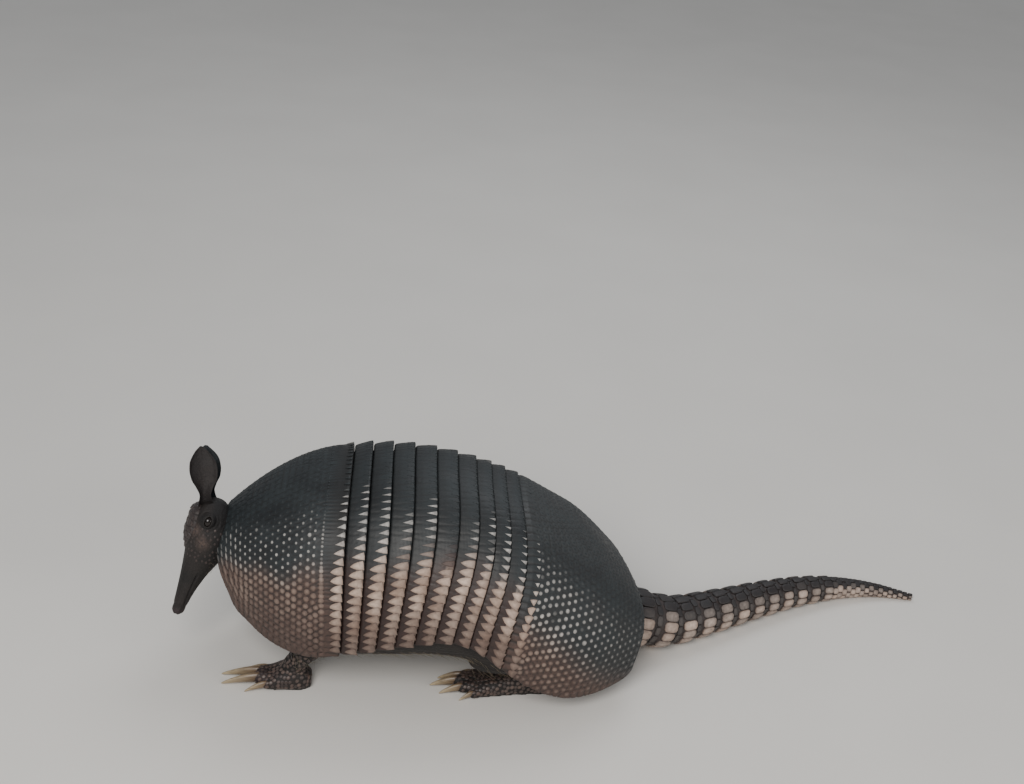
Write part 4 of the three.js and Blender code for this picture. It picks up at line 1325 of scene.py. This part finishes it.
def hide_material(name, base, light, dark_tone, grain=1.5, rough=0.68):
    material, tree, place = new_material(name, Roughness=rough, IOR=1.45)
    pale, leather, dark = (node(tree, "ShaderNodeAttribute", attribute_name=key).outputs["Fac"]
                           for key in ("pale", "leather", "dark"))
    mottle = node(tree, "ShaderNodeTexNoise", {"Vector": place, "Scale": 60.0, "Detail": 5.0})
    grains = node(tree, "ShaderNodeTexVoronoi", {"Vector": place, "Scale": 1000 / grain}).outputs[0]
    creases = node(tree, "ShaderNodeTexVoronoi", {"Vector": place, "Scale": 260.0},
                   feature="DISTANCE_TO_EDGE").outputs[0]
    mottled, speckled = (node(tree, "ShaderNodeMapRange", {"Value": value, "From Min": low,
                                                           "From Max": high, "To Max": most}).outputs[0]
                         for value, low, high, most in ((mottle.outputs[0], 0.32, 0.68, 1.0),
                                                        (grains, 0.25, 0.75, 0.35)))
    paled, shade_and_marks = (node(tree, "ShaderNodeMath", {0: share, 1: most},
                          operation="MULTIPLY").outputs[0]
                     for share, most in ((pale, 0.75), (dark, 0.85)))
    skin = base
    # painted shade: the dark attribute darkens folds, nostrils, mouth, poll and jaw, and gives the dark
    # marks round the eyes
    for share, tone in ((mottled, light), (paled, "#60514a"), (leather, "#33292a"),
                        (speckled, dark_tone), (shade_and_marks, dark_tone)):
        skin = node(tree, "ShaderNodeMix", {0: share, 6: skin, 7: tone}, data_type="RGBA").outputs[2]
    pebbles = node(tree, "ShaderNodeBump", {"Strength": 0.5, "Distance": 0.5 * MM,
                                            "Height": grains}, invert=True)
    folds = node(tree, "ShaderNodeBump", {"Strength": 0.35, "Distance": 0.6 * MM,
                                          "Height": creases, "Normal": pebbles.outputs[0]})
    finish(tree, Base_Color=skin, Normal=folds.outputs[0])
    return material


HIDE = hide_material("leather_hide", "#1b1918", "#2b2523", "#0d0c0d")
EAR_HIDE = hide_material("leather_ear", "#171b1f", "#20272c", "#0d0f11", 1.2, 0.5)
hide.data.materials.clear()
hide.data.materials.append(HIDE)
flesh_nodes = ["trunk", "neck", "head", "muzzle", "nose"]
flesh_nodes += [f"{part}_{side}" for part in ("foreleg", "hindleg", "forepaw", "hindpaw")
                for side in ("left", "right")]
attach(hide, "root")
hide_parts(*flesh_nodes)

# %% [markdown]
# The eye is small, dark and wet. It is a ball with a slightly raised cornea, set in the opening of
# the lids; a lid rim as thick as a match's edge runs round the opening.

# %% Eyes and lid rims
WET_EYE = mottled_material("wet_eye", 500.0, "#080606", "#1b120d", Roughness=0.13, IOR=1.38,
                           Coat_Weight=0.3)


def make_eye(side_name, hand):
    polar, turn = np.linspace(0.06, np.pi - 0.06, 24), 2 * np.pi * np.arange(32) / 32
    radius = (EYE_RADIUS - 0.1) + 0.35 * bell(polar, 0.7)
    out, ring = (radius * np.cos(polar))[:, None], (radius * np.sin(polar))[:, None]
    eye = loft(f"eyeball_{side_name}", on_head(EYE_AT[0] + ring * np.cos(turn),
                                               EYE_AT[1] + ring * np.sin(turn),
                                               hand * (EYE_AT[2] + out)))
    eye.data.materials.append(WET_EYE)
    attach(eye, "root")
    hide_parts(f"eye_{side_name}")


def make_lid_rim(side_name, hand):
    long, thin = 72, 10
    around = 2 * np.pi * np.arange(long) / long
    x, y = 4.5 * np.cos(around), 3.1 * power(np.sin(around), 0.9) - 0.1 + 0.17 * np.cos(around)
    lift = np.sqrt((EYE_RADIUS + 0.55) ** 2 - x**2 - y**2)
    middle = on_head(EYE_AT[0] + x, EYE_AT[1] + y, hand * (EYE_AT[2] + lift))
    centre = on_head(*EYE_AT[:2], hand * EYE_AT[2])
    out = unit(middle - centre)
    way = unit(np.roll(middle, -1, 0) - np.roll(middle, 1, 0))
    across = np.cross(way, out)
    turn = 2 * np.pi * np.arange(thin) / thin
    thick = 0.62 + 0.14 * (y > 0)
    rings = (middle[:, None] + out[:, None] * (thick[:, None] * np.cos(turn))[..., None]
             + across[:, None] * (thick[:, None] * 1.2 * np.sin(turn))[..., None])
    zero = np.zeros(long * thin)
    rim = face_outward(new_object(f"lid_rim_{side_name}", rings.reshape(-1, 3),
                                  np.array(ring_quads(long + 1, thin)) % (long * thin),
                                  {"dark": zero + 0.6, "pale": zero, "leather": zero}))
    rim.data.materials.append(HIDE)
    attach(rim, "root")


for make in (make_eye, make_lid_rim):
    for side_name, hand in HANDS:
        make(side_name, hand)

# %% [markdown]
# The ears stand tall and close together. Each is a stiff, thin leaf, rolled to a funnel at its
# base, with a rounded tip and fine pebbled skin. It is built as a strip that is bent across.

# %% Ears
EAR_LENGTH = 52
ear_half_width = ramp([0, 0.16, 0.3, 0.45, 0.6, 0.73, 0.8, 0.86, 0.92, 0.96, 1],
                      [6.0, 4.3, 6.4, 9.6, 10.6, 10.0, 8.7, 7.0, 4.8, 2.9, 0.8])
ear_cupping = ramp([0, 0.4, 0.7, 1], [5.5, 5, 3.6, 0.4])


def make_ear(side_name, hand):
    base, rise = ear_root(hand)
    across = unit(HEAD_ROLL @ np.array([-1, -0.45 * hand, 0]))
    back = unit(np.cross(across, rise)) * hand
    rows, columns = 70, 49
    part = 1.14 * (1 - (1 - np.linspace(0, 1, rows)) ** 1.3) - 0.14
    part, turn = np.minimum(part, 0.995)[:, None], np.linspace(-1, 1, columns)[None, :]
    cup = ear_cupping(part) * (1 - turn**2)
    roll = 1.3 * smooth(0.75, 1, np.abs(turn)) * smooth(0.25, 0.5, part) * smooth(1.0, 0.8, part)
    middle = (base + rise * (part * EAR_LENGTH)[..., None]
              + across * (ear_half_width(part) * turn)[..., None])
    half_thick = (0.62 - 0.3 * np.abs(turn) ** 6) * (1 - 0.4 * smooth(0.7, 1, part))
    ribs = 0.05 * np.sin(turn * 9 + 1.3 * part * 9) * smooth(0.2, 0.5, part)
    outer = middle + back * (cup - roll + half_thick + ribs)[..., None]
    inner = middle + back * (cup - roll - half_thick + ribs)[..., None]
    inside = np.r_[np.tile(np.repeat([0.0, 0.3], columns), rows), 0, 0]
    ear = loft(f"ear_leaf_{side_name}", np.concatenate([outer, inner[:, ::-1]], 1),
               {"pale": inside, "dark": 0 * inside, "leather": 0 * inside})
    ear.data.materials.append(EAR_HIDE)
    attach(ear, "root")
    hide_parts(f"ear_{side_name}")


for side_name, hand in HANDS:
    make_ear(side_name, hand)

# %% [markdown]
# A bony cap of flat, many-sided scutes covers the forehead from the poll to the snout. The scutes
# are laid as on the shields, but their places are shifted at random, because no two are alike.

# %% The cap on the forehead
CAP_HORN = horn_material("keratin_cap", 0.5)
CAP_FROM, CAP_TO = 9, 48  # along the head
cap_spread_at = ramp([0, 0.4, 0.75, 1], np.radians([50, 52, 42, 12]))


def cap_spread(along):
    return cap_spread_at((along - CAP_FROM) / (CAP_TO - CAP_FROM))


def cap_lift(along, share):
    """The cap swells out of the hide: low at its rim, and lowest towards the snout."""
    from_side = (1 - np.abs(share)) * 14
    rim = np.minimum(from_side, np.minimum(along - CAP_FROM, (CAP_TO - along) * 0.45))
    return -0.9 + 2.7 * smooth(-1.5, 6, rim) ** 0.8


def make_cap():
    shift = np.random.default_rng(5)
    spots = []
    for along in np.arange(11.2, 47, 4.9):
        half = cap_spread(along) * 0.95
        radius = 0.5 * (head_side_at(along) + head_top_at(along)) + 2
        count = max(int(round(2 * half * radius / 5.6)), 3)
        for k in range(count):
            angle = -half + 2 * half * (k + 0.5) / count + shift.uniform(-0.05, 0.05)
            spots.append([along + shift.uniform(-0.8, 0.8), angle])
    along, angle = np.array(spots).T
    lift = cap_lift(along, angle / cap_spread(along))
    place, bosses_at = head_point(along, angle, lift), head_point(along, angle, lift + 0.2)
    tailward = unit(head_point(along + 0.3, angle, 2.2) - head_point(along - 0.3, angle, 2.2))
    sideways = unit(head_point(along, angle + 0.01, 2.2) - head_point(along, angle - 0.01, 2.2))
    normal = unit(np.cross(tailward, sideways))
    normal *= np.sign(np.sum(normal * (place - on_head(along, 0, 0)), 1))[:, None]
    rows, columns = 112, 132
    a, step = np.linspace(CAP_FROM, CAP_TO, rows)[:, None], np.linspace(-1, 1, columns)[None, :]
    turn, lift = cap_spread(a) * step, cap_lift(a, step)
    surface = head_point(a, turn, lift)
    near, far = two_nearest(surface.reshape(-1, 3), place).reshape(2, rows, columns)
    groove = 1 - smooth(0.15, 1.0, far - near)
    outer = head_point(a, turn, lift - 0.55 * groove + 0.3 * (1 - smooth(0.5, 3.4, near)))
    inner = head_point(a, turn[:, ::-1], -2.0)
    grooves = np.r_[np.concatenate([groove, 0 * groove], 1).ravel(), 0, 0]
    bare = 1 + 0 * grooves
    base = loft("cap_plate", np.concatenate([outer, inner], 1),
                {"groove": grooves * 0.7, "tone": 0.015 * bare, "tan": 0.5 * bare, "crown": bare})
    luck = scatter(12, len(along))
    size = np.column_stack([1.5 + 0.4 * luck, 1.5 + 0.3 * luck, 0.16 + 0.06 * luck])
    cap = lay("forehead_cap", bosses_at, normal, tailward, size, BOSS, CAP_HORN, base, 0.1, 3,
              tone=0.02 + 0.04 * luck, tan=0.45 + 0.2 * luck, groove=0 * luck)
    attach(cap, "root")
    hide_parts("head_shield")


make_cap()

# %% [markdown]
# Digging claws are stout horn: dull brown at the root, paler and translucent to the tip, with fine
# ridges along them. Each is a tapered loft that curves down to rest on the floor.

# %% Claws
def claw_material():
    material, tree, place = new_material("keratin_claw", Roughness=0.38, IOR=1.55)
    stretched = node(tree, "ShaderNodeMapping", {"Vector": place, "Scale": (60, 900, 900)})
    lines = node(tree, "ShaderNodeTexNoise", {"Vector": stretched.outputs[0],
                                              "Scale": 1.0}).outputs[0]
    streaks = node(tree, "ShaderNodeMapRange", {"Value": lines, "From Min": 0.35, "From Max": 0.7,
                                                "To Max": 0.5}).outputs[0]
    tip = node(tree, "ShaderNodeAttribute", attribute_name="tip").outputs["Fac"]
    horn = "#6d5a47"
    for share, tone in ((tip, "#b7a686"), (streaks, "#4a3b2f")):
        horn = node(tree, "ShaderNodeMix", {0: share, 6: horn, 7: tone}, data_type="RGBA").outputs[2]
    ridges = node(tree, "ShaderNodeBump", {"Strength": 0.4, "Distance": 0.3 * MM, "Height": lines})
    finish(tree, Base_Color=horn, Normal=ridges.outputs[0])
    return material


CLAW_HORN = claw_material()


def claw_loft(claw, middle_y, hand):
    x, y, length, radius, turn = claw
    ahead, across = toe_ways(turn, hand)
    part = np.r_[np.linspace(-0.14, 0.9, 20), 0.95, 0.985, 1.0]
    taper = radius * (1 - 0.82 * np.maximum(part, 0) ** 1.4)
    size = taper * np.r_[np.ones(20), 0.86, 0.6, 0.25]
    root_height = radius * 1.3 + 2.2
    centres = np.array([x, -hand * (middle_y + y), 0]) + ahead * (length * part)[:, None]
    centres[:, 2] = taper * 1.25 + 0.4 + (root_height - radius * 1.25 - 0.4) * (1 - part**2)
    rings = on_floor(ovals(centres, across, UP, size * 0.76, size * 1.16, 18))
    return rings, np.r_[np.repeat(np.clip(part, 0, 1), 18), 0, 1]


def make_claws(foot, claws, middle_y, side_name, hand):
    made = []
    for number, claw in enumerate(claws, 1):
        rings, tip = claw_loft(claw, middle_y, hand)
        made.append(loft(f"{foot}_{number}", rings, {"tip": tip}))
    piece = join(made, f"{foot}claws_{side_name}")
    piece.data.materials.append(CLAW_HORN)
    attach(piece, "root")
    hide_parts(*(f"{foot}claw_{side_name}_{n}" for n in range(1, len(claws) + 1)))


for foot, shapes, middle_y in (("fore", FORE_CLAWS, FORE_OUT), ("hind", HIND_CLAWS, HIND_OUT)):
    for side_name, hand in HANDS:
        make_claws(foot, shapes, middle_y, side_name, hand)

# %% [markdown]
# Small horny scales, two to three millimetres across, cover the tops of the feet and the front of
# the legs, and a few lie on the cheeks. Their places are taken from the hide, well apart.

# %% Scales on feet, legs and cheeks


def well_apart(points, allowed, spacing, seed):
    order = np.random.default_rng(seed).permutation(np.flatnonzero(allowed))
    taken, kept = {}, []
    for i in order:
        p = points[i]
        cell = tuple((p // spacing).astype(int))
        near = (q for a in (-1, 0, 1) for b in (-1, 0, 1) for c in (-1, 0, 1)
                for q in taken.get((cell[0] + a, cell[1] + b, cell[2] + c), ()))
        if all(np.sum((p - q) ** 2) > spacing**2 for q in near):
            taken.setdefault(cell, []).append(p)
            kept.append(i)
    return np.array(kept)


PATCH = 0.003


def map_scales(obj, roots):
    """The bake map: a scale is a patch at its root's place, top on the left, base on the right."""
    shape, corners = points_of(BOSS) + BODY_AT, read_all(obj.data.loops, "vertex_index", 1, int)
    start = read_all(obj.data.polygons, "loop_start", 1, int)
    total = read_all(obj.data.polygons, "loop_total", 1, int)
    count = len(shape)
    base = np.repeat(np.logical_or.reduceat(corners % count == count - 1, start), total)
    uv = roots[corners // count] + PATCH * 0.24 * shape[corners % count, :2]
    uv[:, 0] += PATCH * np.where(base, 0.25, -0.25)
    obj.data.uv_layers.new(name="OFBake").data.foreach_set("uv", uv.astype(np.float32).ravel())


def foot_unwrap(points):
    """Each foot has a quarter of the map: its turn round the ankle across, from shin to toes up."""
    hind, right = points[:, 0] > 8, points[:, 1] > 0
    ankle = np.column_stack([np.where(hind, 70, -104), np.where(right, 52, -52)])
    off = points[:, :2] - ankle
    turn = np.arctan2(off[:, 1], -off[:, 0]) / (2 * np.pi) + 0.5
    down = (34 - points[:, 2] + np.hypot(*off.T)) / 100
    return np.column_stack([0.01 + 0.47 * turn + 0.5 * right, 0.01 + 0.47 * down + 0.5 * hind])


def cheek_unwrap(points):
    """Each cheek has half of the map, seen square on."""
    return np.column_stack([0.02 + 0.44 * (points[:, 0] - 24) / 28 + 0.5 * (points[:, 2] > 0),
                            0.02 + 0.9 * (points[:, 1] + 13) / 22])


skin_points = points_of(hide)
skin_normals = normals_of(hide)
x, y, z = skin_points.T
foot = (z > 2.6) & (z < 34) & (np.abs(y) > 33) & (skin_normals[:, 2] > -0.35)
foot &= (x < -84) | ((x > 8) & (x < 100))
chosen = well_apart(skin_points, foot, 2.75, 21)
luck = scatter(22, len(chosen))
foot_size = np.column_stack([1.7 + 0.25 * luck, 1.45 + 0.2 * luck, 0.22 + 0.08 * luck])
downward = np.tile([-1.0, 0.0, -0.8], (len(chosen), 1))
foot_scales = lay("foot_scales", skin_points[chosen], skin_normals[chosen], downward, foot_size,
                  BOSS, CAP_HORN, None, 0.12, 4, tone=0.03 + 0.15 * luck, tan=0.5 + 0.4 * luck,
                  groove=0 * luck)
map_scales(foot_scales, foot_unwrap(skin_points[chosen]))
local = to_head(skin_points)
cheek = (local[:, 0] > 24) & (local[:, 0] < 52) & (np.abs(local[:, 2]) > 9) & (local[:, 1] < 9)
cheek &= (local[:, 1] > -13) & (skin_points[:, 0] < -140)
chosen = well_apart(skin_points, cheek, 3.1, 23)
luck = scatter(24, len(chosen))
cheek_size = np.column_stack([1.1 + 0.2 * luck, 0.95 + 0.2 * luck, 0.15 + 0.06 * luck])
snoutward = np.tile(HEAD_AXES[:, 0], (len(chosen), 1))
cheek_scales = lay("cheek_scales", skin_points[chosen], skin_normals[chosen], snoutward, cheek_size,
                   BOSS, CAP_HORN, None, 0.15, 5, tone=0.02 * luck, tan=0.5 + 0.2 * luck,
                   groove=0 * luck)
map_scales(cheek_scales, cheek_unwrap(local[chosen]))
for piece in (foot_scales, cheek_scales):
    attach(piece, "root")

# %% [markdown]
# Hair is thin on an armadillo: single, stiff, yellowish hairs on the belly, the legs, the throat
# and round the root of the tail, lying back along the body. Each is a tapered strand of mesh that
# bends with its own weight. Its patch of the bake map sits at its root's place on the hide.

# %% Sparse hairs
HAIR = mottled_material("coarse_hair", 90.0, "#5d5142", "#a89a7f", Roughness=0.45, IOR=1.55)


def bake_place(root):
    """The root's place on an unwrap of the hide: its length across, its turn round the body up."""
    turn = np.arctan2(root[:, 1], root[:, 2] - 60) / (2 * np.pi) + 0.5
    under = 0.5 * (np.abs(root[:, 1]) > 36)
    return np.column_stack([0.01 + 0.97 * (root[:, 0] + 210) / 390, 0.01 + 0.47 * turn + under])


def make_hairs(name, roots, normals, way, length, seed, radius=0.12):
    rng = np.random.default_rng(seed)
    count, levels = len(roots), 6
    way = way + rng.normal(0, 0.28, (count, 3))
    way = unit(way - normals * np.sum(way * normals, 1)[:, None])
    length = length * rng.uniform(0.6, 1.15, count)
    rise = rng.uniform(0.16, 0.4, count)
    t = np.linspace(0, 1, levels)[None, :, None]
    reach = way[:, None] * (length[:, None, None] * t)
    lift = normals[:, None] * ((length * rise)[:, None, None] * (t - 0.45 * t**2) - 0.4)
    sag = np.array([0, 0, -1.0]) * (length[:, None, None] * 0.16 * t**2)
    line = roots[:, None] + reach + lift + sag
    side = unit(np.cross(way, normals))[:, None]
    up = unit(np.cross(side, way[:, None]))
    turn = 2 * np.pi * np.arange(3) / 3
    thick = radius * (1 - 0.8 * np.linspace(0, 1, levels))[None, :, None, None]
    rings = line[:, :, None] + thick * (side[:, :, None] * np.cos(turn)[None, None, :, None]
                                        + up[:, :, None] * np.sin(turn)[None, None, :, None])
    faces, spots = [], []
    for level in range(levels - 1):
        for k in range(3):
            n = (k + 1) % 3
            faces.append([level * 3 + k, level * 3 + n, level * 3 + 3 + n, level * 3 + 3 + k])
            spots.append([(k, level), (k + 1, level), (k + 1, level + 1), (k, level + 1)])
    faces += [[2, 1, 0], [levels * 3 - 3, levels * 3 - 2, levels * 3 - 1]]
    spots += [[(2, 0), (1, 0), (0, 0)], [(0, 5), (1, 5), (2, 5)]]
    every = [[v + h * levels * 3 for v in face] for h in range(count) for face in faces]
    hairs = new_object(name, rings.reshape(-1, 3), every)
    corner = np.array([s for face in spots for s in face]) / [3, 5] * 0.003
    uv = (bake_place(roots)[:, None] + corner[None]).reshape(-1, 2)
    layer = hairs.data.uv_layers.new(name="OFBake")
    layer.data.foreach_set("uv", uv.astype(np.float32).ravel())
    face_outward(hairs)
    hairs.data.materials.append(HAIR)
    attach(hairs, "root")
    print(name, count, "hairs,", count_triangles(hairs), "triangles")


def hair_spots(allowed, spacing, seed):
    chosen = well_apart(skin_points, allowed, spacing, seed)
    return skin_points[chosen], skin_normals[chosen]


under_shell = np.array([cover.find(p)[2] < 6 for p in skin_points])
body_part = (x > -110) & (x < 112) & (z > 16) & (z < 52) & ~under_shell
root, out = hair_spots(body_part, 4.4, 31)
backward = np.tile([1.0, 0.0, -0.25], (len(root), 1))
make_hairs("belly_hairs", root, out, backward, 12.0, 32)
throat = (local[:, 0] < 60) & (x < -118) & (z > 40) & (z < 92) & (local[:, 1] < -8) & ~under_shell
root, out = hair_spots(throat, 3.6, 33)
downward = np.tile([0.5, 0, -1.0], (len(root), 1))
make_hairs("throat_hairs", root, out, downward, 7.0, 34, 0.1)

# %% [markdown]
# The floor is plain and pale. A large soft light hangs above and in front, a weaker one fills the
# far side, and a pale sky lifts the shadows. The camera looks from the animal's left and above.

# %% Floor, light and camera
drop(*SHAPES)
bpy.ops.mesh.primitive_plane_add(size=8, location=(0, 0, 0))
floor = bpy.context.active_object
floor.name = "floor"
PAPER = mottled_material("matt_floor", 6.0, "#dddad5", "#e6e3de", Roughness=0.85)
floor.data.materials.append(PAPER)


def area_light(name, place, target, size, power_w, tint):
    data = bpy.data.lights.new(name, "AREA")
    data.shape, data.size, data.energy, data.color = "DISK", size, power_w, tint
    lamp = bpy.data.objects.new(name, data)
    lamp.location = place
    lamp.rotation_euler = (Vector(target) - Vector(place)).to_track_quat("-Z", "Y").to_euler()
    bpy.context.scene.collection.objects.link(lamp)


area_light("key", (-0.5, -1.2, 1.15), (0, 0, 0.06), 0.9, 19.5, (1.0, 0.97, 0.93))
area_light("top", (0.3, 0.9, 1.5), (0, 0, 0.06), 1.0, 7, (0.94, 0.97, 1.0))
area_light("fill", (1.3, -0.9, 0.6), (0, 0, 0.06), 1.0, 6, (1.0, 0.95, 0.9))
world = bpy.data.worlds.new("pale_room")
bpy.context.scene.world = world
world.use_nodes = True
sky = world.node_tree.nodes["Background"]
sky.inputs[0].default_value, sky.inputs[1].default_value = colour("#dfe2e6"), 0.45

camera_data = bpy.data.cameras.new("camera")
camera_data.lens, camera_data.sensor_width = 50, 36
camera = bpy.data.objects.new("camera", camera_data)
bpy.context.scene.collection.objects.link(camera)
bpy.context.scene.camera = camera
turn = Matrix(((0.995, -0.055, -0.0832), (-0.0487, 0.4599, -0.8867), (0.0871, 0.8863, 0.4549)))
camera.matrix_world = Matrix.Translation((-0.1554, -0.9342, 0.7105)) @ turn.to_4x4()
